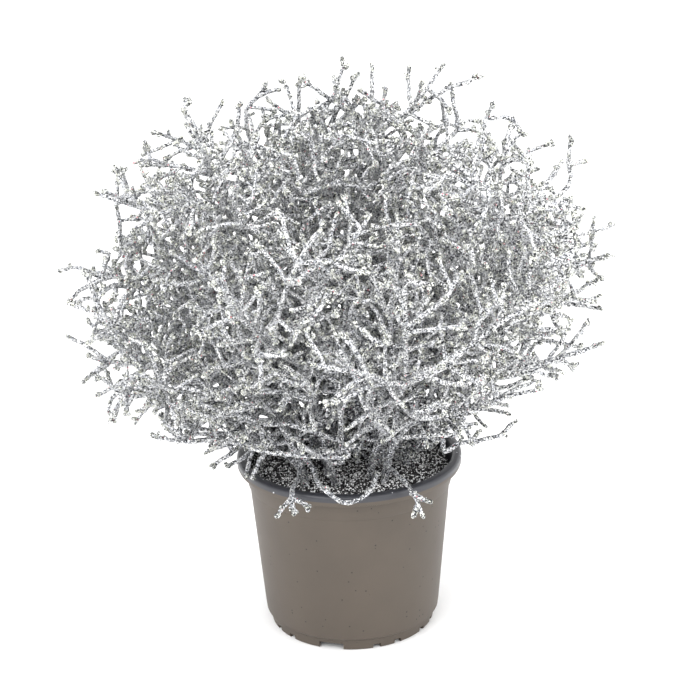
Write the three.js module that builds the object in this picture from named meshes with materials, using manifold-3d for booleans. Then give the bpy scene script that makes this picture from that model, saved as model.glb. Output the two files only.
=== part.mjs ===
// A potted cushion bush: a wiry, silvered shrublet of many forked shoots, standing in a filled nursery pot.
// Millimetres, +Z up. The origin is the centre of the pot's foot, on the surface that the pot stands on.
// The front of the pot faces -Y.

import * as THREE from "three";
import { mergeVertices } from "three/addons/utils/BufferGeometryUtils.js";
import Module from "manifold-3d";

const wasm = await Module();
wasm.setup();

// Driving dimensions of the pot
const POT_HEIGHT = 84;
const RIM_RADIUS = 52.5;
const RIM_DROP = 5.2; // height of the rolled lip's skirt
const NECK_RADIUS = 48.3; // outside of the wall, just under the lip
const BAND_HEIGHT = 70; // a small step that runs round the wall
const WAIST_RADIUS = 41; // outside of the wall, where the foot begins
const FOOT_HEIGHT = 5.5;
const FOOT_RADIUS = 38.6;
const WALL = 1.2;
const FLOOR_TOP = 7.4;
const POT_SIDES = 48;
const WIDE_NOTCH = 11.5;
const NARROW_NOTCH = 3.6;
const DRAIN_RADIUS = 3;
const DRAIN_CIRCLE = 24;

// Driving dimensions of the soil
const FIT_GAP = 0.3; // clearance between pieces that touch
const SOIL_TOP = 77.5;
const SOIL_MOUND = 2.2;
const SOIL_CRUMB = 0.9;
const SOIL_SIDES = 28;
const SOIL_RINGS = 7;

// Driving dimensions of the bush
const DOME_CENTRE = POT_HEIGHT + 88;
const DOME_RADII = [114, 103, 85]; // across, front to back, upwards
const DOME_FOOT = 150; // downwards
const DOME_SHOULDER = 0.5; // how much fuller than an ellipsoid it is half way up
const HALF_WIDTH = 129; // to the outermost tips
const HALF_DEPTH = 115;
const SKIRT_SLOPE = 0.5; // how the underside rises from the wall outwards
const SKIRT_RIGHT = 0.2; // how much steeper to the right, and flatter to the left
const SKIRT_FRONT = 0.1; // how much steeper to the front
const SKIRT_LIFT = 14; // how much higher over the lip at the front
const FRONT_FROM = 12; // where it starts to rise over the soil towards the front
const FRONT_SLOPE = 0.5;
const ROOT_DEPTH = 13;
const SHOOT_COUNT = 14;
const GOLDEN_ANGLE = 2.399963;
const OUTWARD_FROM = DOME_CENTRE - 60; // height on the axis that twigs tend away from
const SHOOT_GAP = 0.35; // clear space between twigs of different shoots
const TWIG_GAP = 0.15; // and between those of one shoot
const KIN_REACH = 3.2; // length of a twig's foot that may stand close to its parent and its siblings
const UP = [0, 0, 1];

// Stems, and where a side twig's three corners sit in a face of its parent
const STEM_SIDES = 4;
const STEM_RADII = [2.1, 1.35];
const STEM_STRETCH = 21;
const STEM_STEPS = 10;
const STEM_OVERSHOOT = 1.05; // how far through the dome a stem may reach
const SLOT_FOOT = 1.1; // from the short edge of the face
const SLOT_SHARE = 0.72; // height of the three corners, as a share of that edge
const SLOT_MARGIN = 0.13;

// The two kinds of side growth, in millimetres and degrees
const MOST_ROOM = 24; // more free room round an end than this doesn't count
const STEM_HEAD_SHARE = 0.6; // share of the upper slots that bear a tip twig
const BRANCH_HEAD_SHARE = 0.35;
const BRANCH = {
  lean: [45, 75],
  reach: [42, 74],
  steps: 4,
  fewest: 3,
  wander: 0.26,
  lift: 0.03,
  outward: 0.3,
  stray: 0.2,
  overshoot: 1.12,
  radii: [1.3, 1.15],
  tries: 40,
  room: 12, // least free room round its end
};
const TIP_TWIG = {
  lean: [48, 80],
  reach: [11, 22],
  steps: 2,
  fewest: 3,
  wander: 0.25,
  lift: 0.05,
  outward: 0.2,
  stray: 0.3,
  overshoot: 1.15,
  radii: [0.95, 1.2],
  tries: 10,
  room: 10.4,
};

// Stems at the front and the twigs that trail over the lip from them, by routes chosen from the real plant
const TRAILING_RADII = [1.1, 1.1];
const LEFT_ROUTE = [
  [-19, -25, 65],
  [-21, -28, 86],
  [-26, -34, 103],
  [-31, -43, 118],
  [-39, -50, 130],
  [-46, -62, 141],
];
const LEFT_SPRIG = [
  [-22.5, -39, 88],
  [-25, -49, 88.2],
  [-26, -56.5, 86],
  [-31, -59, 80.5],
];
const FRONT_LOOP = [
  [-17, -37, 93],
  [-14, -47, 89],
  [-9, -56, 87.6],
  [-3, -60, 85],
  [3, -59, 85.5],
  [9, -57, 89],
  [12, -47, 92],
];
const RIGHT_ROUTE = [
  [14, -22, 65],
  [17, -27, 87],
  [21, -36, 104],
  [29, -45, 117],
  [34, -57, 126],
  [43, -66, 134],
];
const RIGHT_TWIG = [
  [20, -37, 89],
  [24.5, -48, 88.6],
  [28, -55.5, 86],
  [31, -57.5, 79],
];
const FRONT_STEMS = [
  {
    route: LEFT_ROUTE,
    trailing: [
      { side: 0, head: 0, route: LEFT_SPRIG },
      { side: 1, head: 1, route: FRONT_LOOP },
    ],
  },
  {
    route: RIGHT_ROUTE,
    trailing: [{ side: 0, head: 0, route: RIGHT_TWIG }],
  },
];

// Small vector helpers, on plain arrays
const add = (a, b, k = 1) => [a[0] + b[0] * k, a[1] + b[1] * k, a[2] + b[2] * k];
const dot = (a, b) => a[0] * b[0] + a[1] * b[1] + a[2] * b[2];
const cross = (a, b) => [
  a[1] * b[2] - a[2] * b[1],
  a[2] * b[0] - a[0] * b[2],
  a[0] * b[1] - a[1] * b[0],
];
const length = (a) => Math.sqrt(dot(a, a));
const unit = (a) => a.map((x) => x / length(a));
const clamp = (x, low, high) => Math.min(high, Math.max(low, x));

// A seeded draw from 0 to 1, exact in double precision
function seeded(seed) {
  let state = seed;
  return () => {
    state = (state * 16807) % 2147483647;
    return (state - 1) / 2147483646;
  };
}

// Turns an indexed mesh into a solid that can be joined and cut
function solidFrom(positions, triangles) {
  return new wasm.Manifold(
    new wasm.Mesh({
      numProp: 3,
      vertProperties: new Float32Array(positions),
      triVerts: new Uint32Array(triangles),
    }),
  );
}

// Turns a three.js geometry into such a solid
function solidOf(geometry) {
  const bare = geometry.clone();
  bare.deleteAttribute("normal");
  bare.deleteAttribute("uv");
  const merged = mergeVertices(bare, 1e-4);
  return solidFrom(merged.attributes.position.array, merged.index.array);
}

// Turns a solid back into a three.js geometry
function geometryOf(solid) {
  const mesh = solid.getMesh();
  const count = mesh.vertProperties.length / mesh.numProp;
  const positions = new Float32Array(count * 3);
  for (let i = 0; i < count; i++) {
    positions.set(mesh.vertProperties.subarray(i * mesh.numProp, i * mesh.numProp + 3), i * 3);
  }
  const geometry = new THREE.BufferGeometry();
  geometry.setAttribute("position", new THREE.BufferAttribute(positions, 3));
  geometry.setIndex(new THREE.BufferAttribute(mesh.triVerts, 1));
  geometry.computeVertexNormals();
  return geometry;
}

// Revolves a closed outline of [radius, height] points about the vertical axis
function revolve(outline, sides) {
  const profile = outline.map(([r, z]) => new THREE.Vector2(r, z));
  const lathe = new THREE.LatheGeometry(profile, sides);
  lathe.rotateX(Math.PI / 2);
  return solidOf(lathe);
}

// A box cutter that crosses the foot ring at an angle from the front
function footNotch(degrees, width, height) {
  const depth = 14;
  const box = new THREE.BoxGeometry(width, depth, height * 2);
  box.translate(0, -FOOT_RADIUS, 0);
  box.rotateZ(THREE.MathUtils.degToRad(degrees));
  return solidOf(box);
}

// The pot: a thin tapered wall with a rolled lip, a raised floor and a notched foot ring
function makePot() {
  const lipInner = NECK_RADIUS - WALL + 0.9;
  const bandRadius = WAIST_RADIUS + (NECK_RADIUS - WAIST_RADIUS) * 0.8;
  const skirtFoot = POT_HEIGHT - RIM_DROP;
  const outline = [
    [0, FLOOR_TOP - WALL],
    [FOOT_RADIUS - WALL - 1.4, FLOOR_TOP - WALL],
    [FOOT_RADIUS - WALL - 0.4, 0],
    [FOOT_RADIUS, 0],
    [FOOT_RADIUS + 0.6, FOOT_HEIGHT],
    [WAIST_RADIUS, FOOT_HEIGHT + 1.1],
    [bandRadius, BAND_HEIGHT],
    [bandRadius + 0.7, BAND_HEIGHT + 0.5],
    [NECK_RADIUS, skirtFoot],
    [RIM_RADIUS - 1.3, skirtFoot - 0.2],
    [RIM_RADIUS - 0.1, skirtFoot + 1.4],
    [RIM_RADIUS, POT_HEIGHT - 1.5],
    [RIM_RADIUS - 1.2, POT_HEIGHT],
    [lipInner + 0.9, POT_HEIGHT - 0.1],
    [lipInner, POT_HEIGHT - 1.4],
    [NECK_RADIUS - WALL, skirtFoot - 0.5],
    [bandRadius - WALL, BAND_HEIGHT],
    [WAIST_RADIUS - WALL, FLOOR_TOP + 1],
    [WAIST_RADIUS - WALL - 1.4, FLOOR_TOP],
    [0, FLOOR_TOP],
  ];
  const cutters = [];
  for (let third = 0; third < 3; third++) {
    const turn = -15.5 + third * 120;
    cutters.push(footNotch(turn, WIDE_NOTCH, 3.4));
    for (const offset of [32, 48, 72, 88]) {
      cutters.push(footNotch(turn + offset, NARROW_NOTCH, 2.2));
    }
  }
  for (let k = 0; k < 6; k++) {
    const angle = (k * Math.PI) / 3;
    const drill = new THREE.CylinderGeometry(DRAIN_RADIUS, DRAIN_RADIUS, 6, 12);
    drill.rotateX(Math.PI / 2);
    drill.translate(DRAIN_CIRCLE * Math.cos(angle), DRAIN_CIRCLE * Math.sin(angle), FLOOR_TOP);
    cutters.push(solidOf(drill));
  }
  return revolve(outline, POT_SIDES).subtract(wasm.Manifold.union(cutters));
}

// Height of the soil's crumbled surface, a formula of two crossing ripples on a low mound
function soilHeight(x, y) {
  const edge = Math.sqrt(x * x + y * y) / (NECK_RADIUS - WALL);
  const across = Math.sin(x * 0.61 + 1.3 * Math.sin(y * 0.37));
  const ripple = across * Math.sin(y * 0.57 + 0.9 * Math.sin(x * 0.43));
  return SOIL_TOP + SOIL_MOUND * (1 - edge * edge) + SOIL_CRUMB * ripple;
}

// The soil: one plug that fills the pot, with its top raised by the formula
function makeSoil(sockets) {
  const bottomRadius = WAIST_RADIUS - WALL - 1.4 - FIT_GAP;
  const bandRadius = WAIST_RADIUS + (NECK_RADIUS - WAIST_RADIUS) * 0.8 - WALL - FIT_GAP;
  const topRadius = bandRadius + 0.8;
  const bottom = FLOOR_TOP + FIT_GAP;
  const positions = [0, 0, bottom];
  const triangles = [];
  const ring = (radius, height) => {
    const first = positions.length / 3;
    for (let s = 0; s < SOIL_SIDES; s++) {
      const angle = (s * 2 * Math.PI) / SOIL_SIDES;
      const x = radius * Math.cos(angle);
      const y = radius * Math.sin(angle);
      positions.push(x, y, height ?? soilHeight(x, y));
    }
    return first;
  };
  const band = (lower, upper) => {
    for (let s = 0; s < SOIL_SIDES; s++) {
      const next = (s + 1) % SOIL_SIDES;
      triangles.push(lower + s, lower + next, upper + next);
      triangles.push(lower + s, upper + next, upper + s);
    }
  };
  const foot = ring(bottomRadius, bottom);
  const shoulder = ring(WAIST_RADIUS - WALL - FIT_GAP, bottom + 2);
  const waist = ring(bandRadius, BAND_HEIGHT);
  for (let s = 0; s < SOIL_SIDES; s++) {
    triangles.push(0, foot + ((s + 1) % SOIL_SIDES), foot + s);
  }
  band(foot, shoulder);
  band(shoulder, waist);
  let outer = ring(topRadius);
  band(waist, outer);
  for (let k = SOIL_RINGS - 1; k > 0; k--) {
    const inner = ring((topRadius * k) / SOIL_RINGS);
    band(outer, inner);
    outer = inner;
  }
  const centre = positions.length / 3;
  positions.push(0, 0, soilHeight(0, 0));
  for (let s = 0; s < SOIL_SIDES; s++) {
    triangles.push(centre, outer + s, outer + ((s + 1) % SOIL_SIDES));
  }
  return solidFrom(positions, triangles).subtract(wasm.Manifold.union(sockets));
}

// How far a point is through the bush's dome: 1 on its skin
function domeShare(p) {
  const up = (p[2] - DOME_CENTRE) / (p[2] > DOME_CENTRE ? DOME_RADII[2] : DOME_FOOT);
  const flat = (p[0] / DOME_RADII[0]) ** 2 + (p[1] / DOME_RADII[1]) ** 2;
  return Math.sqrt(flat + up * up - DOME_SHOULDER * flat * (up * up));
}

// The lowest height a twig may have at a point: over the soil, the lip and a slanting underside
function lowestAt(p) {
  const out = Math.sqrt(p[0] * p[0] + p[1] * p[1]);
  if (out < NECK_RADIUS - 7) return SOIL_TOP + SOIL_MOUND + 2.6 + Math.max(0, -p[1] - FRONT_FROM) * FRONT_SLOPE;
  const front = Math.max(0, -p[1] / out);
  const slope = SKIRT_SLOPE + (SKIRT_RIGHT * p[0]) / out + SKIRT_FRONT * front;
  return POT_HEIGHT + 3.2 + SKIRT_LIFT * front + Math.max(0, out - NECK_RADIUS) * slope;
}

// Shortest distance between two straight stretches
function stretchDistance(a, b, c, d) {
  const u = add(b, a, -1);
  const v = add(d, c, -1);
  const w = add(a, c, -1);
  const uu = dot(u, u);
  const vv = dot(v, v);
  const uv = dot(u, v);
  const uw = dot(u, w);
  const vw = dot(v, w);
  const spread = uu * vv - uv * uv;
  let s = spread > 1e-9 ? clamp((uv * vw - vv * uw) / spread, 0, 1) : 0;
  const t = clamp((uv * s + vw) / vv, 0, 1);
  s = clamp((uv * t - uw) / uu, 0, 1);
  return length(add(add(w, u, s), v, -t));
}

// Shortest distance from a point to a straight stretch
function pointDistance(p, a, b) {
  const u = add(b, a, -1);
  const w = add(p, a, -1);
  return length(add(w, u, -clamp(dot(w, u) / dot(u, u), 0, 1)));
}

// A twig: a bent line of points, with a ring of corners round each but the last, which is its pointed end.
// The first ring is given: a stem's own foot, or three corners inset in a face of what the twig grows from.
class Twig {
  constructor(points, radii, firstRing) {
    this.points = points;
    this.radii = radii;
    this.sides = firstRing.length;
    this.rings = [firstRing];
    this.faces = [];
    this.taken = new Set();
    let side = unit(add(firstRing[0], points[0], -1));
    for (let i = 1; i < points.length - 1; i++) {
      const along = unit(add(this.heading(i), this.heading(i - 1)));
      side = unit(add(side, along, -dot(side, along)));
      this.rings.push(ringOf(points[i], along, side, radii[i], this.sides));
    }
  }

  // The unit direction of one stretch
  heading(i) {
    return unit(add(this.points[i + 1], this.points[i], -1));
  }

  // The corners of one of the two triangles on a side of a stretch: 0 at its foot, 1 at its head
  slot(stretch, side, head) {
    const next = (side + 1) % this.sides;
    const [low, high] = [this.rings[stretch], this.rings[stretch + 1]];
    return head ? [high[next], high[side], low[side]] : [low[side], low[next], high[next]];
  }
}

// Corners round a centre, square to a direction, the first one towards a side
function ringOf(centre, along, side, radius, count) {
  const other = cross(along, side);
  return Array.from({ length: count }, (_, k) => {
    const angle = (k * 2 * Math.PI) / count;
    return add(add(centre, side, radius * Math.cos(angle)), other, radius * Math.sin(angle));
  });
}

// Three corners inset in a long triangle, near its short edge from a to b
function insetIn([a, b, c]) {
  const width = length(add(b, a, -1));
  const reach = length(add(c, a, -1));
  const foot = SLOT_FOOT / reach;
  const head = (SLOT_FOOT + SLOT_SHARE * width) / reach;
  const across = (q, share) => {
    const left = add(a, add(c, a, -1), q);
    const right = add(b, add(c, b, -1), q);
    return add(left, add(right, left, -1), share);
  };
  return [across(foot, SLOT_MARGIN), across(foot, 1 - SLOT_MARGIN), across(head, 0.5)];
}

// The closed surface of one shoot, in which every side twig is drawn out of a face of its parent
class Skin {
  constructor() {
    this.positions = [];
    this.triangles = [];
  }

  // Adds a ring of corners and returns their numbers
  corners(ring) {
    return ring.map((p) => this.positions.push(p) - 1);
  }

  // Covers a twig's stretches and its pointed end, from the numbers of its first ring
  cover(twig, firstNumbers) {
    let low = firstNumbers;
    for (let i = 1; i < twig.rings.length; i++) {
      const high = this.corners(twig.rings[i]);
      twig.faces.push(
        low.map((_, k) => {
          const next = (k + 1) % low.length;
          this.triangles.push([low[k], low[next], high[next]], [high[next], high[k], low[k]]);
          return this.triangles.length - 2;
        }),
      );
      low = high;
    }
    twig.tip = this.positions.push([...twig.points[twig.points.length - 1]]) - 1;
    low.forEach((corner, k) => this.triangles.push([corner, low[(k + 1) % low.length], twig.tip]));
  }

  // Starts a stem with its closed foot
  plant(stem) {
    const foot = this.corners(stem.rings[0]);
    for (let k = 1; k < foot.length - 1; k++) this.triangles.push([foot[0], foot[k + 1], foot[k]]);
    this.cover(stem, foot);
  }

  // Opens one face of the parent and draws the twig out of it
  graft(parent, stretch, side, head, twig) {
    const face = parent.faces[stretch][side] + head;
    const outer = this.triangles[face];
    const inner = this.corners(twig.rings[0]);
    this.triangles[face] = [outer[0], outer[1], inner[1]];
    this.triangles.push([outer[0], inner[1], inner[0]]);
    this.triangles.push([outer[1], outer[2], inner[2]], [outer[1], inner[2], inner[1]]);
    this.triangles.push([outer[2], outer[0], inner[0]], [outer[2], inner[0], inner[2]]);
    this.cover(twig, inner);
  }

  // The finished solid
  solid() {
    return solidFrom(this.positions.flat(), this.triangles.flat());
  }
}

// Growth of the bush: shoots that grow one twig at a time, each kept clear of all the others
class Bush {
  constructor(seed) {
    this.random = seeded(seed);
    this.shoots = [];
    this.stretches = [];
  }

  // A draw between two values
  between(low, high) {
    return low + (high - low) * this.random();
  }

  // A random unit direction
  anyWay() {
    const z = this.between(-1, 1);
    const turn = this.between(0, 2 * Math.PI);
    const flat = Math.sqrt(1 - z * z);
    return [flat * Math.cos(turn), flat * Math.sin(turn), z];
  }

  // Walks a bent line from a start, and stops it at the dome's skin or the underside
  walk(start, heading, kind, reach, overshoot) {
    const points = [start];
    let way = heading;
    for (let i = 0; i < kind.steps; i++) {
      if (i) way = unit(add(add(way, this.anyWay(), kind.wander), UP, kind.lift));
      const next = add(points[i], way, reach / kind.steps);
      if (domeShare(next) > overshoot || next[2] < lowestAt(next)) break;
      if (Math.abs(next[0]) > HALF_WIDTH || Math.abs(next[1]) > HALF_DEPTH) break;
      points.push(next);
    }
    return points;
  }

  // True if a line of points keeps clear of every other twig, but for its foot beside its own kin
  isClear(shoot, points, radius, parent) {
    const heading = unit(add(points[1], points[0], -1));
    const freeFoot = add(points[0], heading, KIN_REACH);
    for (const other of this.stretches) {
      const kin = parent && (other.twig === parent || (other.parent === parent && other.index === 0));
      const room = radius + other.radius + (other.shoot === shoot ? TWIG_GAP : SHOOT_GAP);
      for (let i = 1; i < points.length; i++) {
        const from = kin && i === 1 ? freeFoot : points[i - 1];
        if (stretchDistance(from, points[i], other.from, other.to) < room) return false;
      }
    }
    return true;
  }

  // Free room round a point, in which only the twig's own parent isn't counted
  roomAt(point, parent, most) {
    let room = most;
    for (const other of this.stretches) {
      if (other.twig !== parent) room = Math.min(room, pointDistance(point, other.from, other.to));
    }
    return room;
  }

  // Adds a twig to a shoot and remembers the room it takes
  keep(shoot, twig, parent) {
    for (let i = 1; i < twig.points.length; i++) {
      const radius = Math.max(twig.radii[i - 1], twig.radii[i]);
      const [from, to] = [twig.points[i - 1], twig.points[i]];
      this.stretches.push({ shoot, twig, parent, index: i - 1, from, to, radius });
    }
    this.shoots[shoot].twigs.push(twig);
    return twig;
  }

  // Plants a stem that follows given points
  plant(shoot, points) {
    const last = points.length - 1;
    const radii = points.map((_, i) => STEM_RADII[0] + ((STEM_RADII[1] - STEM_RADII[0]) * i) / last);
    const along = unit(add(points[1], points[0], -1));
    const side = unit(cross(along, [0.31, 0.52, 0.79]));
    const stem = new Twig(points, radii, ringOf(points[0], along, side, radii[0], STEM_SIDES));
    this.shoots.push({ twigs: [], skin: new Skin() });
    this.shoots[shoot].skin.plant(stem);
    return this.keep(shoot, stem, null);
  }

  // Grows one side twig out of a face, of a few tries the one that ends in the emptiest place
  sprout(shoot, parent, stretch, side, head, kind) {
    if (parent.taken.has([stretch, side, head].join())) return null;
    const ring = insetIn(parent.slot(stretch, side, head));
    const middle = add(add(ring[0], ring[1]), ring[2]).map((x) => x / 3);
    const normal = unit(cross(add(ring[1], ring[0], -1), add(ring[2], ring[0], -1)));
    const outward = unit(add(middle, [0, 0, OUTWARD_FROM], -1));
    let best = null;
    let bestRoom = kind.room;
    for (let attempt = 0; attempt < kind.tries; attempt++) {
      const lean = (this.between(kind.lean[0], kind.lean[1]) * Math.PI) / 180;
      const plain = add(normal.map((x) => x * Math.sin(lean)), parent.heading(stretch), Math.cos(lean));
      const way = unit(add(add(plain, outward, kind.outward), this.anyWay(), kind.stray));
      const reach = this.between(kind.reach[0], kind.reach[1]);
      const overshoot = this.between(0.9, kind.overshoot);
      if (dot(way, normal) < 0.42) continue;
      const points = this.walk(middle, way, kind, reach, overshoot);
      if (points.length < kind.fewest) continue;
      const room = this.roomAt(points[points.length - 1], parent, MOST_ROOM);
      if (room <= bestRoom || !this.isClear(shoot, points, Math.max(...kind.radii), parent)) continue;
      best = points;
      bestRoom = room;
      if (room === MOST_ROOM) break;
    }
    return best && this.graft(shoot, parent, stretch, side, head, best, kind.radii, ring);
  }

  // Fastens a twig that follows given points to a face
  graft(shoot, parent, stretch, side, head, points, ends, ring) {
    const last = points.length - 1;
    const radii = points.map((_, i) => ends[0] + ((ends[1] - ends[0]) * i) / last);
    const twig = new Twig(points, radii, ring);
    parent.taken.add([stretch, side, head].join());
    this.shoots[shoot].skin.graft(parent, stretch, side, head, twig);
    return this.keep(shoot, twig, parent);
  }

  // Grows side branches from one stretch of a stem
  branch({ shoot, twig }, stretch) {
    const turn = Math.floor(this.between(0, STEM_SIDES));
    const sides = [turn, (turn + 2) % STEM_SIDES, (turn + 1) % STEM_SIDES];
    return sides.map((side) => ({ shoot, twig: this.sprout(shoot, twig, stretch, side, 0, BRANCH) }));
  }

  // Clothes one stretch of a stem or a branch with tip twigs
  clothe({ shoot, twig }, stretch, headShare) {
    for (let side = 0; side < twig.sides; side++) {
      if (stretch) this.sprout(shoot, twig, stretch, side, 0, TIP_TWIG);
      if (this.random() < headShare) this.sprout(shoot, twig, stretch, side, 1, TIP_TWIG);
    }
  }

  // Draws the outermost tips out to the bush's full half width and half depth, on both sides
  drawOut() {
    const twigs = this.shoots.flatMap(({ twigs, skin }) => twigs.map((twig) => ({ twig, skin })));
    for (const [axis, limit] of [[0, HALF_WIDTH], [1, HALF_DEPTH]]) {
      for (const sign of [-1, 1]) {
        const reach = ({ twig }) => sign * twig.points[twig.points.length - 1][axis];
        const { twig, skin } = twigs.reduce((best, next) => (reach(next) > reach(best) ? next : best));
        skin.positions[twig.tip][axis] = sign * limit;
      }
    }
  }
}

// Grows one main stem, which leaves the soil steeply and leans out on its way to the dome's skin
function growStem(bush, shoot, k) {
  const spread = Math.acos(0.995 - (0.82 * k) / SHOOT_COUNT);
  for (let attempt = 0; attempt < 60; attempt++) {
    const turn = k * GOLDEN_ANGLE + 0.9 + bush.between(-0.25, 0.25) * (attempt ? 1.6 : 1);
    const flat = [Math.cos(turn), Math.sin(turn), 0];
    const points = [add([0, 0, SOIL_TOP - ROOT_DEPTH], flat, 3 + 21 * Math.sin(spread))];
    for (let i = 0; i < STEM_STEPS; i++) {
      const lean = spread * (i ? Math.min(1.12, 0.5 + 0.14 * i) : 0.3);
      const plain = add(flat.map((x) => x * Math.sin(lean)), UP, Math.cos(lean));
      const way = unit(add(plain, bush.anyWay(), i ? 0.16 : 0));
      let reach = STEM_STRETCH;
      while (reach > 0 && domeShare(add(points[i], way, reach)) > STEM_OVERSHOOT) reach -= 1;
      const next = add(points[i], way, reach);
      if (reach < STEM_STRETCH / 3 || (i > 1 && next[2] < lowestAt(next))) break;
      points.push(next);
      if (reach < STEM_STRETCH) break;
    }
    if (points.length < 5 || !bush.isClear(shoot, points, STEM_RADII[0], null)) continue;
    return bush.plant(shoot, points);
  }
  throw new Error("no clear room for stem " + k);
}

// Grows the whole bush from a seed: first the two front stems and their trailing twigs, then the rest
function growBush(seed) {
  const bush = new Bush(seed);
  const stems = FRONT_STEMS.map((front, shoot) => {
    const stem = bush.plant(shoot, front.route);
    for (const { side, head, route } of front.trailing) {
      const ring = insetIn(stem.slot(1, side, head));
      const middle = add(add(ring[0], ring[1]), ring[2]).map((x) => x / 3);
      bush.graft(shoot, stem, 1, side, head, [middle, ...route], TRAILING_RADII, ring);
    }
    return stem;
  });
  for (let k = 0; k < SHOOT_COUNT; k++) stems.push(growStem(bush, stems.length, k));
  const parents = stems.map((twig, shoot) => ({ shoot, twig }));
  const branches = [];
  for (let stretch = STEM_STEPS - 2; stretch > 0; stretch--) {
    for (const stem of parents.filter(({ twig }) => stretch < twig.rings.length - 1)) {
      branches.push(...bush.branch(stem, stretch).filter(({ twig }) => twig));
    }
  }
  for (let stretch = BRANCH.steps - 2; stretch >= 0; stretch--) {
    for (const branch of branches.filter(({ twig }) => stretch < twig.rings.length - 1)) {
      bush.clothe(branch, stretch, BRANCH_HEAD_SHARE);
    }
  }
  for (let stretch = STEM_STEPS - 2; stretch >= 0; stretch--) {
    for (const stem of parents.filter(({ twig }) => stretch < twig.rings.length - 1)) {
      bush.clothe(stem, stretch, STEM_HEAD_SHARE);
    }
  }
  bush.drawOut();
  return bush.shoots;
}

// The hole that a stem stands in, a straight socket a little wider and deeper than its foot
function socketOf(stem) {
  const along = stem.heading(0);
  const side = unit(add(stem.rings[0][0], stem.points[0], -1));
  const wider = stem.radii[0] + FIT_GAP * Math.SQRT2;
  const foot = add(stem.points[0], along, -FIT_GAP);
  const head = add(stem.points[1], along, 4);
  const socket = new Skin();
  const ring = ringOf(foot, along, side, wider, STEM_SIDES);
  socket.plant(new Twig([foot, head, add(head, along, 1)], [wider, wider, 0], ring));
  return socket.solid();
}

// Materials
const plastic = new THREE.MeshStandardMaterial({ color: 0x746a60, roughness: 0.55, metalness: 0 });
const compost = new THREE.MeshStandardMaterial({ color: 0x1d1b1c, roughness: 0.95, metalness: 0 });
const silver = new THREE.MeshStandardMaterial({ color: 0xb4b6bb, roughness: 0.45, metalness: 0.4 });

const pottedBush = new THREE.Group();

// Adds a solid to the group as a named mesh
function place(name, solid, material) {
  const mesh = new THREE.Mesh(geometryOf(solid), material);
  mesh.name = name;
  pottedBush.add(mesh);
}

const shoots = growBush(30);
place("pot", makePot(), plastic);
place("soil", makeSoil(shoots.map(({ twigs }) => socketOf(twigs[0]))), compost);
shoots.forEach(({ skin }, k) => place("shoot_" + String(k + 1).padStart(2, "0"), skin.solid(), silver));

export default pottedBush;
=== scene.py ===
"""The looks of a potted cushion bush: glittering forked twigs, a plastic nursery pot and dark compost.

Lengths are in millimetres where the growth is worked out, and in metres in every Blender object.
"""

import logging
import math
from dataclasses import dataclass, field
from enum import Enum
from itertools import product

import bpy
import numpy as np
from mathutils import Matrix, Vector


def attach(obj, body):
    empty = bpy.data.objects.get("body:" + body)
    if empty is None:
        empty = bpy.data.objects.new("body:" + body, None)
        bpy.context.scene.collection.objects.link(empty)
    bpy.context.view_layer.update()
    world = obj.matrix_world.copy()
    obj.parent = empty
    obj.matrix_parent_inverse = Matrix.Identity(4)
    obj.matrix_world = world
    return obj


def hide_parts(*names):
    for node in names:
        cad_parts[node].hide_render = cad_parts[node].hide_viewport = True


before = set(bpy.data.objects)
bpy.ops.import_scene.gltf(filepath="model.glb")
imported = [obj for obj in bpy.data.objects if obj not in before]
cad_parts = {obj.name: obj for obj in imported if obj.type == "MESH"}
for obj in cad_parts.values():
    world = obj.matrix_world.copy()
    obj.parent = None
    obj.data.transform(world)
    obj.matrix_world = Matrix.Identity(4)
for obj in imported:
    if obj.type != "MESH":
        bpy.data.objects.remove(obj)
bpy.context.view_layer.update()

LOG = logging.getLogger("cushion_bush")
MM = 0.001

Point = tuple[float, float, float]
Way = Point
Colour = tuple[float, float, float]
Inputs = dict[str | int, object]
Slot = tuple[int, int, int]
WHITE = (1.0, 1.0, 1.0)

# Sizes of the solids, in millimetres, with the same names as in the part's source
POT_HEIGHT = 84.0
RIM_RADIUS = 52.5
RIM_DROP = 5.2
NECK_RADIUS = 48.3
BAND_HEIGHT = 70.0
WAIST_RADIUS = 41.0
BAND_RADIUS = WAIST_RADIUS + (NECK_RADIUS - WAIST_RADIUS) * 0.8
FOOT_HEIGHT = 5.5
FOOT_RADIUS = 38.6
WALL = 1.2
FLOOR_TOP = 7.4
SOIL_TOP = 77.5
SOIL_MOUND = 2.2
DOME_CENTRE = POT_HEIGHT + 88
DOME_RADII = (114.0, 103.0, 85.0)
DOME_FOOT = 150.0
DOME_SHOULDER = 0.5
HALF_WIDTH = 129.0
HALF_DEPTH = 115.0
SKIRT_SLOPE = 0.5
SKIRT_RIGHT = 0.2
SKIRT_FRONT = 0.1
SKIRT_LIFT = 14
FRONT_FROM = 12
FRONT_SLOPE = 0.5
ROOT_DEPTH = 13.0
SHOOT_COUNT = 14
SHOOT_SEED = 30
GOLDEN_ANGLE = 2.399963
OUTWARD_FROM = DOME_CENTRE - 60
SHOOT_GAP = 0.35
TWIG_GAP = 0.15
MOST_GAP = 2.5  # more than any half thickness and gap together
KIN_REACH = 3.2
OPEN_RADIUS = NECK_RADIUS - 7
SOIL_CLEARANCE = 2.6
LIP_CLEARANCE = 3.2
UP = (0.0, 0.0, 1.0)

# The mass of fine twigs, its lumps, and its opening at the front that shows the stems
MASS_CENTRE = POT_HEIGHT + 92
MASS_RADII = (101.0, 91.0, 66.0)
MASS_FOOT = 95.0
MASS_LUMPS = 0.15
MASS_CLEARANCE = 3
LUMPS_ACROSS = (0.058, 1.3, 0.021)  # a wave's rate, start and slant
LUMPS_UP = (0.066, 0.5, -0.03)
OPENING_DEPTH = 34
OPENING_HALF = 68
OPENING_LIFT = 6
OPENING_SLOPE = 0.6
MASS_RISE = (0.25, 45)  # the slope, and where it starts
MASS_RISE_RIGHT = (0.55, 50)

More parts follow.
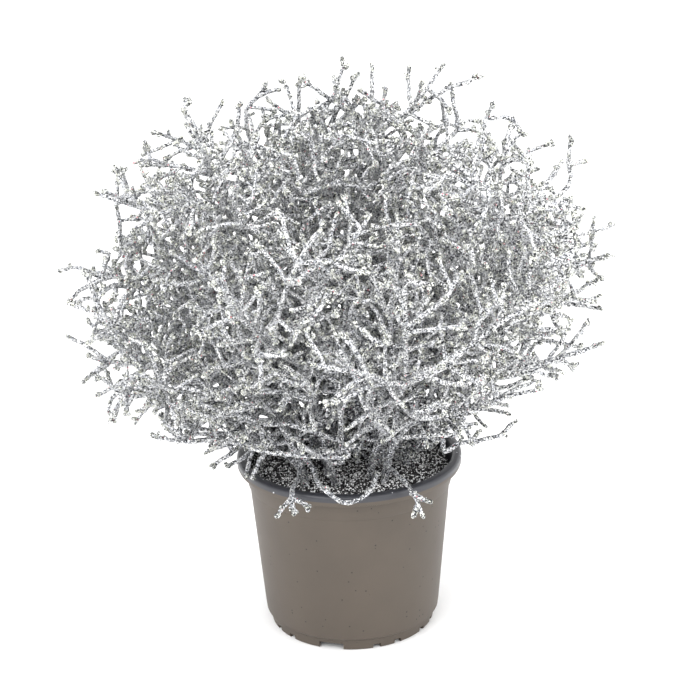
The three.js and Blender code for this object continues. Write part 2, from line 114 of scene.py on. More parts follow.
# The stems of the solids, and where a side twig sits in a face of its parent
STEM_SIDES = 4
STEM_RADII = (2.1, 1.35)
STEM_STRETCH = 21
STEM_STEPS = 10
STEM_LEAST_POINTS = 5
STEM_OVERSHOOT = 1.05
STEM_TRIES = 60
STEM_SPREAD = (0.995, 0.82)  # cosine of the steepest lean, and how far the others' go down from it
STEM_CIRCLE = (3, 21)  # radius in the soil, and how much it grows with the lean
STEM_JITTER = 0.25
LATE_JITTER = 1.6
FIRST_TURN = 0.9
FOOT_LEAN = 0.3
STEM_LEAN = (0.5, 0.14, 1.12)  # share of the lean at first, its gain at each stretch, and the most
STEM_WANDER = 0.16
STEM_ASLANT = (0.31, 0.52, 0.79)
SLOT_FOOT = 1.1
SLOT_SHARE = 0.72
SLOT_MARGIN = 0.13
STEM_HEAD_SHARE = 0.6
BRANCH_HEAD_SHARE = 0.35
MOST_ROOM = 24.0
LEAST_SLANT = 0.42
LEAST_OVERSHOOT = 0.9
TRAILING_RADII = (1.1, 1.1)
LEFT_ROUTE = (
    (-19, -25, 65), (-21, -28, 86), (-26, -34, 103),
    (-31, -43, 118), (-39, -50, 130), (-46, -62, 141),
)
LEFT_SPRIG = ((-22.5, -39, 88), (-25, -49, 88.2), (-26, -56.5, 86), (-31, -59, 80.5))
FRONT_LOOP = (
    (-17, -37, 93), (-14, -47, 89), (-9, -56, 87.6), (-3, -60, 85),
    (3, -59, 85.5), (9, -57, 89), (12, -47, 92),
)
RIGHT_ROUTE = (
    (14, -22, 65), (17, -27, 87), (21, -36, 104),
    (29, -45, 117), (34, -57, 126), (43, -66, 134),
)
RIGHT_TWIG = ((20, -37, 89), (24.5, -48, 88.6), (28, -55.5, 86), (31, -57.5, 79))

# Outstanding twigs of the real plant, each from the wood that it grows on to its tip. One that starts with
# a number has it as y all along, and gives x and z at each point.
OUTER_ROUTES = (
    ((-25.5, -56.5, 86.5), (-22, -58, 85), (-19, -58.5, 83.5)),
    ((-25.5, -57, 85.5), (-25, -58.5, 82)),
    ((28, -55.5, 86), (30, -57, 85.5), (32.5, -57.5, 84)),
    ((29.5, -56.5, 82), (28.5, -58, 79.5)),
    ((-36, -30, 104), (-43, -31, 99), (-49, -31, 94), (-54, -30, 91)),
    ((-38, -28, 104), (-47, -27, 101), (-56, -26, 99), (-62, -25, 96.5)),
    ((-43, -31, 99), (-45, -34, 94), (-46, -37, 90)),
    ((-47, -27, 101), (-52, -29, 97), (-55, -30, 95.5), (-60, -30, 92)),
    ((-36, -34, 102), (-40, -38, 96), (-43, -41, 91)),
    ((-52, -28, 98), (-56, -27, 102), (-61, -26, 103)),
    (9, (-97.5, 172.5), (-101, 183), (-101.5, 195), (-102, 203), (-101, 214)),
    (10, (-89.5, 162), (-103.5, 168.5), (-110.5, 168), (-118, 172), (-125, 173.5), (-129, 172)),
    (10, (-110.5, 168), (-115, 166), (-122, 162), (-125, 159)),
    (10, (-102.5, 163.5), (-105.5, 165), (-114, 159.5), (-119, 158.5), (-123.5, 157)),
    (10, (-110.5, 168), (-109, 175), (-107, 179.5), (-111, 181)),
    (-10, (-88.5, 147), (-97.5, 149.5), (-104.5, 152.5), (-110, 153), (-113, 158.5)),
    (-24, (-88, 138), (-98.5, 144.5), (-103, 151.5), (-107.5, 152)),
    (-25, (-63.5, 134.5), (-76.5, 131.5), (-86, 125.5), (-94, 123.5), (-103, 125.5), (-107, 133.5)),
    (-25, (-102.5, 125), (-106, 122.5), (-107.5, 117.5)),
    (-25, (-100, 123.5), (-103, 119.5), (-105, 113)),
    (-25, (-96.5, 123), (-99, 118)),
    (-25, (-86, 125.5), (-90, 120.5), (-93, 117)),
    (-17, (-55.5, 115), (-65, 116), (-71.5, 115.5), (-76.5, 117.5), (-86, 114.5)),
    (-25, (-44.5, 103), (-56.5, 104), (-68.5, 107.5), (-76.5, 109), (-81.5, 112.5)),
    (-25, (-57.5, 101.5), (-71, 101), (-76.5, 102.5), (-81, 106.5)),
    (-10, (49, 123), (55.5, 123.5), (62, 122), (69.5, 122.5), (77.5, 123.5), (88, 127.5), (95, 131.5),
     (100.5, 137), (105, 143), (108, 148)),
    (-10, (96, 131.5), (98.5, 130), (101.5, 127.5)),
    (-10, (88, 128), (86.5, 131), (85, 133.5)),
    (-10, (82.5, 125.5), (82.5, 134.5), (86.5, 139)),
    (-10, (74.5, 123.5), (74, 131.5)),
    (-29, (48, 100.5), (52, 112), (56.5, 116.5), (62, 120), (66.5, 125), (72, 125.5), (78.5, 128.5)),
    (-29, (66.5, 125), (63, 126.5), (59.5, 129)),
    (-29, (51, 111), (53, 105), (55, 99.5)),
    (-25, (43.5, 93), (50, 97), (56, 97.5), (62, 99), (68.5, 100.5), (74.5, 106.5)),
    (-25, (56, 97.5), (58, 101.5)),
    (0, (77, 142), (85, 147.5), (93, 151), (99.5, 155.5), (106, 160), (112, 164.5)),
    (0, (93, 151), (94.5, 146.5), (97.5, 141.5)),
    (0, (87.5, 162.5), (93.5, 158.5), (100.5, 158), (106.5, 160.5)),
    (7, (82, 154), (88.5, 160.5), (94, 166), (100, 170), (106.5, 170.5), (113, 172.5), (119.5, 173.5)),
    (7, (105, 170), (106.5, 166.5)),
    (32, (91.5, 170), (101.5, 174), (109.5, 176.5), (114.5, 178), (120.5, 179.5), (124, 180.5)),
    (32, (114.5, 178), (116, 182)),
    (32, (101.5, 169.5), (109.5, 171), (115, 172)),
    (32, (-37, 213.5), (-42, 226), (-43.5, 236.5), (-42, 241.5), (-37.5, 246), (-34.5, 250.5)),
    (32, (-37, 246), (-33, 248), (-29, 248.5)),
    (-22, (-56.5, 222), (-53, 230), (-46.5, 240), (-44.5, 246), (-43.5, 253.5)),
    (-21, (-55.5, 217), (-58.5, 227.5), (-60, 236), (-60.5, 243)),
    (15, (-19, 228.5), (-13, 237.5), (-8, 242), (-3, 250)),
    (16, (-11, 219.5), (-8.5, 228), (-3.5, 239.5), (2, 248.5), (6.5, 257)),
    (16, (2, 248.5), (4, 244), (7, 239)),
    (20, (28.5, 235.5), (22, 242), (15.5, 245.5), (9.5, 249.5)),
    (20, (26.5, 235.5), (32, 243), (37, 249), (41, 254), (44.5, 259)),
    (20, (38.5, 250), (45, 245), (47.5, 241.5)),
    (19, (54, 231.5), (51.5, 238.5), (49.5, 246.5)),
    (-12, (60, 225.5), (61.5, 237), (62.5, 243.5), (65, 248.5)),
    (-12, (63, 243.5), (70, 244.5), (75, 242.5), (78, 237.5)),
    (-10, (84.5, 197), (90.5, 203), (95, 208), (100, 214.5), (99, 223), (99.5, 232)),
    (-10, (99, 222.5), (102, 222.5), (104.5, 223)),
    (-10, (92.5, 206.5), (98.5, 204), (104, 202)),
    ((-3.5, -39.5, 95), (-3.5, -43, 103), (-3.5, -51.5, 122.5), (-3.5, -56, 140.5), (-4, -56, 154),
     (-3.5, -56, 166.5)),
    (-56, (-3.5, 133.5), (-7, 142), (-11, 152.5), (-12.5, 160)),
    ((-3.5, -53, 125.5), (2, -56, 136), (5.5, -56, 146.5), (11, -56, 154.5)),
    (-56, (-0.5, 105), (-12.5, 105.5), (-25, 106.5), (-34.5, 108), (-44, 110.5)),
    (-50, (-4, 110.5), (-14.5, 114.5), (-26.5, 118.5), (-37.5, 119), (-48, 122)),
    (-38, (1.5, 105.5), (10.5, 111), (23, 114.5), (33.5, 122), (43.5, 124.5)),
    (-35, (-22, 99), (-23, 114.5), (-25.5, 131), (-31, 147.5), (-33, 162.5), (-32, 176.5)),
    (-42, (19, 106.5), (22, 123), (26.5, 138.5), (28.5, 153.5), (34, 172)),
)


def add(a: Point, b: Point, k: float = 1.0) -> Point:
    """Returns a plus k times b."""
    return (a[0] + b[0] * k, a[1] + b[1] * k, a[2] + b[2] * k)


def dot(a: Point, b: Point) -> float:
    """Returns the dot product."""
    return a[0] * b[0] + a[1] * b[1] + a[2] * b[2]


def cross(a: Point, b: Point) -> Point:
    """Returns the cross product."""
    return (a[1] * b[2] - a[2] * b[1], a[2] * b[0] - a[0] * b[2], a[0] * b[1] - a[1] * b[0])


def length(a: Point) -> float:
    """Returns the length of a vector."""
    return math.sqrt(dot(a, a))


def unit(a: Point) -> Way:
    """Returns the unit vector along a."""
    size = length(a)
    return (a[0] / size, a[1] / size, a[2] / size)


def centre_of(ring: list[Point]) -> Point:
    """Returns the middle of three corners."""
    total = add(add(ring[0], ring[1]), ring[2])
    return (total[0] / 3, total[1] / 3, total[2] / 3)


def share_of(p: Point, centre: float, radii: Point, foot: float) -> float:
    """Returns how far a point is through a dome with full shoulders.

    Args:
        p: the point.
        centre: the height of the dome's middle.
        radii: its reach across, from front to back, and upwards.
        foot: its reach downwards.
    Returns:
        The share, which is 1 on the dome's skin.
    """
    up = (p[2] - centre) / (radii[2] if p[2] > centre else foot)
    flat = (p[0] / radii[0]) ** 2 + (p[1] / radii[1]) ** 2
    return math.sqrt(max(0.0, flat + up * up - DOME_SHOULDER * flat * (up * up)))


def dome_share(p: Point) -> float:
    """Returns how far a point is through the bush's dome."""
    return share_of(p, DOME_CENTRE, DOME_RADII, DOME_FOOT)


def lowest_at(p: Point) -> float:
    """Returns the lowest height that a twig may have over the soil, the lip and a slanting underside.

    Args:
        p: the place, of which the height doesn't count.
    Returns:
        The height.
    """
    out = math.sqrt(p[0] * p[0] + p[1] * p[1])
    if out < OPEN_RADIUS:
        return SOIL_TOP + SOIL_MOUND + SOIL_CLEARANCE + max(0.0, -p[1] - FRONT_FROM) * FRONT_SLOPE
    front = max(0.0, -p[1] / out)
    slope = SKIRT_SLOPE + (SKIRT_RIGHT * p[0]) / out + SKIRT_FRONT * front
    return POT_HEIGHT + LIP_CLEARANCE + SKIRT_LIFT * front + max(0.0, out - NECK_RADIUS) * slope


def wave(along: float, depth: float, shape: tuple[float, float, float]) -> float:
    """Returns a slanting wave, whose shape is its rate, its start and its slant."""
    return math.sin(along * shape[0] + shape[1] + depth * shape[2])


def mass_share(p: Point) -> float:
    """Returns how far a point is through the lumpy mass of fine twigs."""
    lump = wave(p[0], p[1], LUMPS_ACROSS) * wave(p[2], p[1], LUMPS_UP)
    return share_of(p, MASS_CENTRE, MASS_RADII, MASS_FOOT) + MASS_LUMPS * lump


def mass_floor(p: Point) -> float:
    """Returns the lowest height of the fine twigs, which leave the stems at the front open to view.

    Args:
        p: the place, of which the height doesn't count.
    Returns:
        The height.
    """
    ahead = -p[1] - OPENING_DEPTH
    opening = OPENING_LIFT + OPENING_SLOPE * ahead if ahead > 0 and abs(p[0]) < OPENING_HALF else 0.0
    out = math.hypot(p[0], p[1])
    rise = MASS_RISE[0] * max(0.0, out - MASS_RISE[1])
    rise += MASS_RISE_RIGHT[0] * max(0.0, p[0] - MASS_RISE_RIGHT[1])
    return lowest_at(p) + MASS_CLEARANCE + max(rise, opening * (1 - (p[0] / OPENING_HALF) ** 2))


def taper(ends: tuple[float, float], count: int) -> list[float]:
    """Returns half thicknesses that go evenly from one end's to the other's."""
    return [ends[0] + (ends[1] - ends[0]) * i / (count - 1) for i in range(count)]


class Draws:
    """A seeded run of draws, the same as the one that the solids were grown with."""

    FACTOR = 16807
    MODULUS = 2147483647

    def __init__(self, seed: int) -> None:
        """Starts the run."""
        self.state = seed

    def share(self) -> float:
        """Returns a draw from 0 to 1."""
        self.state = (self.state * self.FACTOR) % self.MODULUS
        return (self.state - 1) / (self.MODULUS - 1)

    def between(self, low: float, high: float) -> float:
        """Returns a draw between two values."""
        return low + (high - low) * self.share()

    def any_way(self) -> Way:
        """Draws a direction.

        Returns:
            The unit direction.
        """
        z = self.between(-1, 1)
        turn = self.between(0, 2 * math.pi)
        flat = math.sqrt(1 - z * z)
        return (flat * math.cos(turn), flat * math.sin(turn), z)


@dataclass(frozen=True)
class Kind:
    """One kind of side growth, in millimetres and degrees."""

    lean: tuple[float, float]
    reach: tuple[float, float]
    steps: int
    fewest: int
    wander: float
    lift: float
    outward: float
    stray: float
    overshoot: float
    radii: tuple[float, float]
    tries: int
    room: float


BRANCH = Kind((45, 75), (42, 74), 4, 3, 0.26, 0.03, 0.3, 0.2, 1.12, (1.3, 1.15), 40, 12)
TIP_TWIG = Kind((48, 80), (11, 22), 2, 3, 0.25, 0.05, 0.2, 0.3, 1.15, (0.95, 1.2), 10, 10.4)


def ring_of(centre: Point, along: Way, side: Way, radius: float, count: int) -> list[Point]:
    """Returns corners round a centre.

    Args:
        centre: the middle.
        along: the direction that the ring is square to.
        side: the direction of the first corner.
        radius: the ring's half width.
        count: how many corners it has.
    Returns:
        The corners.
    """
    other = cross(along, side)
    ring = []
    for k in range(count):
        angle = k * 2 * math.pi / count
        reach = add(centre, side, radius * math.cos(angle))
        ring.append(add(reach, other, radius * math.sin(angle)))
    return ring


def inset_in(face: tuple[Point, Point, Point]) -> list[Point]:
    """Returns three corners inset in a long triangle, near its short edge.

    Args:
        face: the triangle's corners, the first two at the short edge.
    Returns:
        The three corners.
    """
    a, b, c = face
    width = length(add(b, a, -1))
    reach = length(add(c, a, -1))
    foot = SLOT_FOOT / reach
    head = (SLOT_FOOT + SLOT_SHARE * width) / reach
    ring = []
    for q, share in ((foot, SLOT_MARGIN), (foot, 1 - SLOT_MARGIN), (head, 0.5)):
        left = add(a, add(c, a, -1), q)
        right = add(b, add(c, b, -1), q)
        ring.append(add(left, add(right, left, -1), share))
    return ring


class Level(Enum):
    """How far out on a shoot a twig grows."""

    STEM = 0
    BRANCH = 1
    TIP = 2
    TRAILING = 3


class Twig:
    """One twig of the solids: a bent line with a ring of corners round each point but the last."""

    def __init__(self, points: list[Point], radii: list[float], ring: list[Point]) -> None:
        """Sets up the twig and its rings.

        Args:
            points: its line.
            radii: the half thickness at each point.
            ring: the corners round its first point.
        """
        self.points = points
        self.radii = radii
        self.sides = len(ring)
        self.rings = [ring]
        self.taken: set[Slot] = set()
        self.number = -1
        self.shoot = -1
        self.level = Level.TIP
        side = unit(add(ring[0], points[0], -1))
        for i in range(1, len(points) - 1):
            along = unit(add(self.heading(i), self.heading(i - 1)))
            side = unit(add(side, along, -dot(side, along)))
            self.rings.append(ring_of(points[i], along, side, radii[i], self.sides))

    def heading(self, i: int) -> Way:
        """Returns the unit direction of one stretch."""
        return unit(add(self.points[i + 1], self.points[i], -1))

    def slot(self, stretch: int, side: int, head: int) -> tuple[Point, Point, Point]:
        """Returns the corners of one of the two triangles on a side of a stretch.

        Args:
            stretch: the stretch's number.
            side: the side's number.
            head: 1 for the triangle whose short edge is at the stretch's end.
        Returns:
            The corners.
        """
        after = (side + 1) % self.sides
        low, high = self.rings[stretch], self.rings[stretch + 1]
        return (high[after], high[side], low[side]) if head else (low[side], low[after], high[after])


class Space:
    """The room that all stretches of twig take, in arrays for quick distances."""

    MOST = 9000
    PARALLEL = 1e-9

    def __init__(self) -> None:
        """Starts empty."""
        self.count = 0
        self.start, self.run, self.middle = np.zeros((3, self.MOST, 3))
        self.half, self.radius = np.zeros((2, self.MOST))
        self.shoot, self.twig, self.kin = np.zeros((3, self.MOST), int)

    def keep(self, twig: Twig, kin: int, i: int) -> None:
        """Remembers one stretch.

        Args:
            twig: the twig.
            kin: the number of the parent, for a first stretch.
            i: the stretch's number.
        """
        n = self.count
        a, b = twig.points[i], twig.points[i + 1]
        self.start[n] = a
        self.run[n] = add(b, a, -1)
        self.middle[n] = self.start[n] + self.run[n] / 2
        self.half[n] = math.dist(a, b) / 2
        self.radius[n] = max(twig.radii[i], twig.radii[i + 1])
        self.shoot[n] = twig.shoot
        self.twig[n] = twig.number
        self.kin[n] = kin
        self.count = n + 1

    def near(self, point: Point, reach: float) -> np.ndarray:
        """Finds the stretches that may lie within reach of a point.

        Args:
            point: the point.
            reach: how far off they may lie.
        Returns:
            Their numbers.
        """
        gap = self.middle[: self.count] - point
        far = self.half[: self.count] + reach
        return np.nonzero(np.einsum("ij,ij->i", gap, gap) < far * far)[0]

    def distance(self, a: Point, b: Point, near: np.ndarray) -> np.ndarray:
        """Returns the shortest distances between one stretch and some others.

        Args:
            a: the stretch's start.
            b: its end.
            near: the numbers of the others.
        Returns:
            One distance each.
        """
        u = np.array(b) - a
        v = self.run[near]
        w = np.array(a) - self.start[near]
        uu = u @ u
        vv = np.einsum("ij,ij->i", v, v)
        uv = v @ u
        uw = w @ u
        vw = np.einsum("ij,ij->i", v, w)
        spread = uu * vv - uv * uv
        apart = spread > self.PARALLEL
        s = np.where(apart, np.clip((uv * vw - vv * uw) / np.where(apart, spread, 1), 0, 1), 0)
        t = np.clip((uv * s + vw) / vv, 0, 1)
        s = np.clip((uv * t - uw) / uu, 0, 1)
        gap = w + s[:, None] * u - t[:, None] * v
        return np.sqrt(np.einsum("ij,ij->i", gap, gap))

    def room_at(self, point: Point, parent: int) -> float:
        """Measures the free room round a point.

        Args:
            point: the point.
            parent: the number of a twig that isn't counted.
        Returns:
            The room, up to MOST_ROOM.
        """
        near = self.near(point, MOST_ROOM)
        near = near[self.twig[near] != parent]
        if not len(near):
            return MOST_ROOM
        u = self.run[near]
        w = np.array(point) - self.start[near]
        t = np.clip(np.einsum("ij,ij->i", u, w) / np.einsum("ij,ij->i", u, u), 0, 1)
        gap = w - t[:, None] * u
        return min(MOST_ROOM, float(np.sqrt(np.einsum("ij,ij->i", gap, gap).min())))


class Bush:
    """The growth that the solids have, repeated twig by twig."""

    def __init__(self, seed: int) -> None:
        """Starts the growth.

        Args:
            seed: the seed of its draws.
        """
        self.draws = Draws(seed)
        self.space = Space()
        self.twigs: list[Twig] = []
        self.stems: list[Twig] = []

    def walk(self, start: Point, way: Way, kind: Kind, reach: float, overshoot: float) -> list[Point]:
        """Walks a bent line from a start, and stops it at the dome's skin or the underside.

        Args:
            start: its first point.
            way: its first direction.
            kind: the kind of growth.
            reach: its full length.
            overshoot: how far through the dome it may reach.
        Returns:
            The points.
        """
        points = [start]
        for i in range(kind.steps):
            if i:
                way = unit(add(add(way, self.draws.any_way(), kind.wander), UP, kind.lift))
            after = add(points[i], way, reach / kind.steps)
            if dome_share(after) > overshoot or after[2] < lowest_at(after):
                break
            if abs(after[0]) > HALF_WIDTH or abs(after[1]) > HALF_DEPTH:
                break
            points.append(after)
        return points

    def is_clear(self, shoot: int, points: list[Point], radius: float, parent: int) -> bool:
        """Tells if a line keeps clear of every other twig, but for its foot beside its own kin.

        Args:
            shoot: the shoot's number.
            points: the line.
            radius: its half thickness.
            parent: the number of the twig it grows from, or -1.
        Returns:
            True where it is clear.
        """
        space = self.space
        free_foot = add(points[0], unit(add(points[1], points[0], -1)), KIN_REACH)
        for i in range(1, len(points)):
            a, b = points[i - 1], points[i]
            middle = add(a, add(b, a, -1), 0.5)
            near = space.near(middle, math.dist(a, b) / 2 + radius + MOST_GAP)
            gaps = np.where(space.shoot[near] == shoot, TWIG_GAP, SHOOT_GAP)
            room = radius + space.radius[near] + gaps
            kin = (space.twig[near] == parent) | (space.kin[near] == parent)
            kin &= i == 1 and parent >= 0
            for start, group in ((a, ~kin), (free_foot, kin)):
                if group.any() and (space.distance(start, b, near[group]) < room[group]).any():
                    return False
        return True

    def keep(self, shoot: int, twig: Twig, parent: int, level: Level) -> Twig:
        """Adds a twig to a shoot and remembers the room it takes.

        Args:
            shoot: the shoot's number.
            twig: the twig.
            parent: the number of the twig it grows from, or -1.
            level: how far out it grows.
        Returns:
            The twig.
        """
        twig.number = len(self.twigs)
        twig.shoot = shoot
        twig.level = level
        self.twigs.append(twig)
        for i in range(len(twig.points) - 1):
            self.space.keep(twig, parent if i == 0 and parent >= 0 else -2, i)
        return twig

    def plant(self, points: list[Point]) -> Twig:
        """Plants a stem.

        Args:
            points: its line.
        Returns:
            The stem.
        """
        radii = taper(STEM_RADII, len(points))
        along = unit(add(points[1], points[0], -1))
        side = unit(cross(along, STEM_ASLANT))
        ring = ring_of(points[0], along, side, radii[0], STEM_SIDES)
        stem = self.keep(len(self.stems), Twig(points, radii, ring), -1, Level.STEM)
        self.stems.append(stem)
        return stem

    def graft(self, parent: Twig, slot: Slot, points: list[Point], level: Level) -> Twig:
        """Fastens a twig that follows given points to a face of its parent.

        Args:
            parent: what it grows from.
            slot: the stretch, the side and the half of it.
            points: the line.
            level: how far out it grows.
        Returns:
            The twig.
        """
        ends = {Level.BRANCH: BRANCH.radii, Level.TIP: TIP_TWIG.radii}.get(level, TRAILING_RADII)
        parent.taken.add(slot)
        twig = Twig(points, taper(ends, len(points)), inset_in(parent.slot(*slot)))
        return self.keep(parent.shoot, twig, parent.number, level)

    def sprout(self, parent: Twig, slot: Slot, kind: Kind, level: Level) -> Twig | None:
        """Grows one side twig out of a face, of a few tries the one that ends in the emptiest place.

        Args:
            parent: what it grows from.
            slot: the stretch, the side and the half of it.
            kind: the kind of growth.
            level: how far out it grows.
        Returns:
            The twig, or None where there is no room.
        """
        if slot in parent.taken:
            return None
        ring = inset_in(parent.slot(*slot))
        middle = centre_of(ring)
        normal = unit(cross(add(ring[1], ring[0], -1), add(ring[2], ring[0], -1)))
        outward = unit(add(middle, (0, 0, OUTWARD_FROM), -1))
        best, best_room = None, kind.room
        draws = self.draws
        for _ in range(kind.tries):
            lean = draws.between(*kind.lean) * math.pi / 180
            sideways = (normal[0] * math.sin(lean), normal[1] * math.sin(lean), normal[2] * math.sin(lean))
            plain = add(sideways, parent.heading(slot[0]), math.cos(lean))
            way = unit(add(add(plain, outward, kind.outward), draws.any_way(), kind.stray))
            reach = draws.between(*kind.reach)
            overshoot = draws.between(LEAST_OVERSHOOT, kind.overshoot)
            if dot(way, normal) < LEAST_SLANT:
                continue
            points = self.walk(middle, way, kind, reach, overshoot)
            if len(points) < kind.fewest:
                continue
            room = self.space.room_at(points[-1], parent.number)
            if room <= best_room:
                continue
            if not self.is_clear(parent.shoot, points, max(kind.radii), parent.number):
                continue
            best, best_room = points, room
            if room == MOST_ROOM:
                break
        return self.graft(parent, slot, best, level) if best else None

    def grow_stem(self, k: int) -> Twig:
        """Grows one main stem, which leaves the soil steeply and leans out on its way.

        Args:
            k: its number among the stems that have no fixed route.
        Returns:
            The stem.
        """
        spread = math.acos(STEM_SPREAD[0] - (STEM_SPREAD[1] * k) / SHOOT_COUNT)
        place = STEM_CIRCLE[0] + STEM_CIRCLE[1] * math.sin(spread)
        for attempt in range(STEM_TRIES):
            jitter = self.draws.between(-STEM_JITTER, STEM_JITTER) * (LATE_JITTER if attempt else 1)
            turn = k * GOLDEN_ANGLE + FIRST_TURN + jitter
            flat = (math.cos(turn), math.sin(turn), 0.0)
            points = [add((0, 0, SOIL_TOP - ROOT_DEPTH), flat, place)]
            for i in range(STEM_STEPS):
                lean = spread * (min(STEM_LEAN[2], STEM_LEAN[0] + STEM_LEAN[1] * i) if i else FOOT_LEAN)
                plain = (flat[0] * math.sin(lean), flat[1] * math.sin(lean), math.cos(lean))
                way = unit(add(plain, self.draws.any_way(), STEM_WANDER if i else 0))
                reach = STEM_STRETCH
                while reach > 0 and dome_share(add(points[i], way, reach)) > STEM_OVERSHOOT:
                    reach -= 1
                after = add(points[i], way, reach)
                if reach < STEM_STRETCH / 3 or (i > 1 and after[2] < lowest_at(after)):
                    break
                points.append(after)
                if reach < STEM_STRETCH:
                    break
            long_enough = len(points) >= STEM_LEAST_POINTS
            if long_enough and self.is_clear(len(self.stems), points, STEM_RADII[0], -1):
                return self.plant(points)
        raise ValueError("no clear room for a stem")

    def branch(self, stem: Twig, stretch: int) -> list[Twig]:
        """Grows side branches from one stretch of a stem.

        Args:
            stem: the stem.
            stretch: the stretch's number.
        Returns:
            The branches.
        """
        turn = math.floor(self.draws.between(0, STEM_SIDES))
        sides = (turn, (turn + 2) % STEM_SIDES, (turn + 1) % STEM_SIDES)
        grown = [self.sprout(stem, (stretch, side, 0), BRANCH, Level.BRANCH) for side in sides]
        return [twig for twig in grown if twig]

    def clothe(self, twigs: list[Twig], stretch: int, head_share: float) -> None:
        """Clothes one stretch of some stems or branches with tip twigs.

        Args:
            twigs: the stems or branches.
            stretch: the stretch's number.
            head_share: the share of the upper slots that may bear a twig.
        """
        for twig in twigs:
            if stretch >= len(twig.rings) - 1:
                continue
            for side in range(twig.sides):
                if stretch:
                    self.sprout(twig, (stretch, side, 0), TIP_TWIG, Level.TIP)
                if self.draws.share() < head_share:
                    self.sprout(twig, (stretch, side, 1), TIP_TWIG, Level.TIP)

    def grow(self) -> None:
        """Grows the front stems and their trailing twigs, then the rest of the bush."""
        fronts = (
            (LEFT_ROUTE, (((1, 0, 0), LEFT_SPRIG), ((1, 1, 1), FRONT_LOOP))),
            (RIGHT_ROUTE, (((1, 0, 0), RIGHT_TWIG),)),
        )
        for route, trailing in fronts:
            stem = self.plant(list(route))
            for slot, way in trailing:
                foot = centre_of(inset_in(stem.slot(*slot)))
                self.graft(stem, slot, [foot, *way], Level.TRAILING)
        for k in range(SHOOT_COUNT):
            self.grow_stem(k)
        branches: list[Twig] = []
        for stretch in range(STEM_STEPS - 2, 0, -1):
            for stem in self.stems:
                if stretch < len(stem.rings) - 1:
                    branches += self.branch(stem, stretch)
        for stretch in range(BRANCH.steps - 2, -1, -1):
            self.clothe(branches, stretch, BRANCH_HEAD_SHARE)
        for stretch in range(STEM_STEPS - 2, -1, -1):
            self.clothe(self.stems, stretch, STEM_HEAD_SHARE)


@dataclass
class Strand:
    """A finished twig of the looks: a smooth line with a half thickness at each point."""

    points: np.ndarray
    radii: np.ndarray
    shoot: int
    tip: bool = False
    lobed: bool = False


@dataclass(frozen=True)
class FineKind:
    """One kind of fine growth, in millimetres and degrees."""

    spacing: float
    lean: tuple[float, float]
    reach: tuple[float, float]
    step: float
    wander: float
    outward: float
    radii: tuple[float, float]
    tries: int
    room: float
    end_share: float


SIDE_SPRIG = FineKind(6.4, (48, 86), (8, 20), 2.1, 0.2, 0.35, (0.95, 0.82), 5, 5.2, 1.03)
FINE_SPRIG = FineKind(9.0, (45, 80), (6, 12), 2.0, 0.22, 0.3, (0.88, 0.76), 4, 4.8, 0.96)


def norm(way: np.ndarray) -> np.ndarray:
    """Returns the unit vector along an array."""
    return way / np.linalg.norm(way)


def spread_route(route: tuple) -> tuple[Point, ...]:
    """Returns a route's points, and puts in the y of one that gives it once."""
    return route if isinstance(route[0], tuple) else tuple((x, route[0], z) for x, z in route[1:])


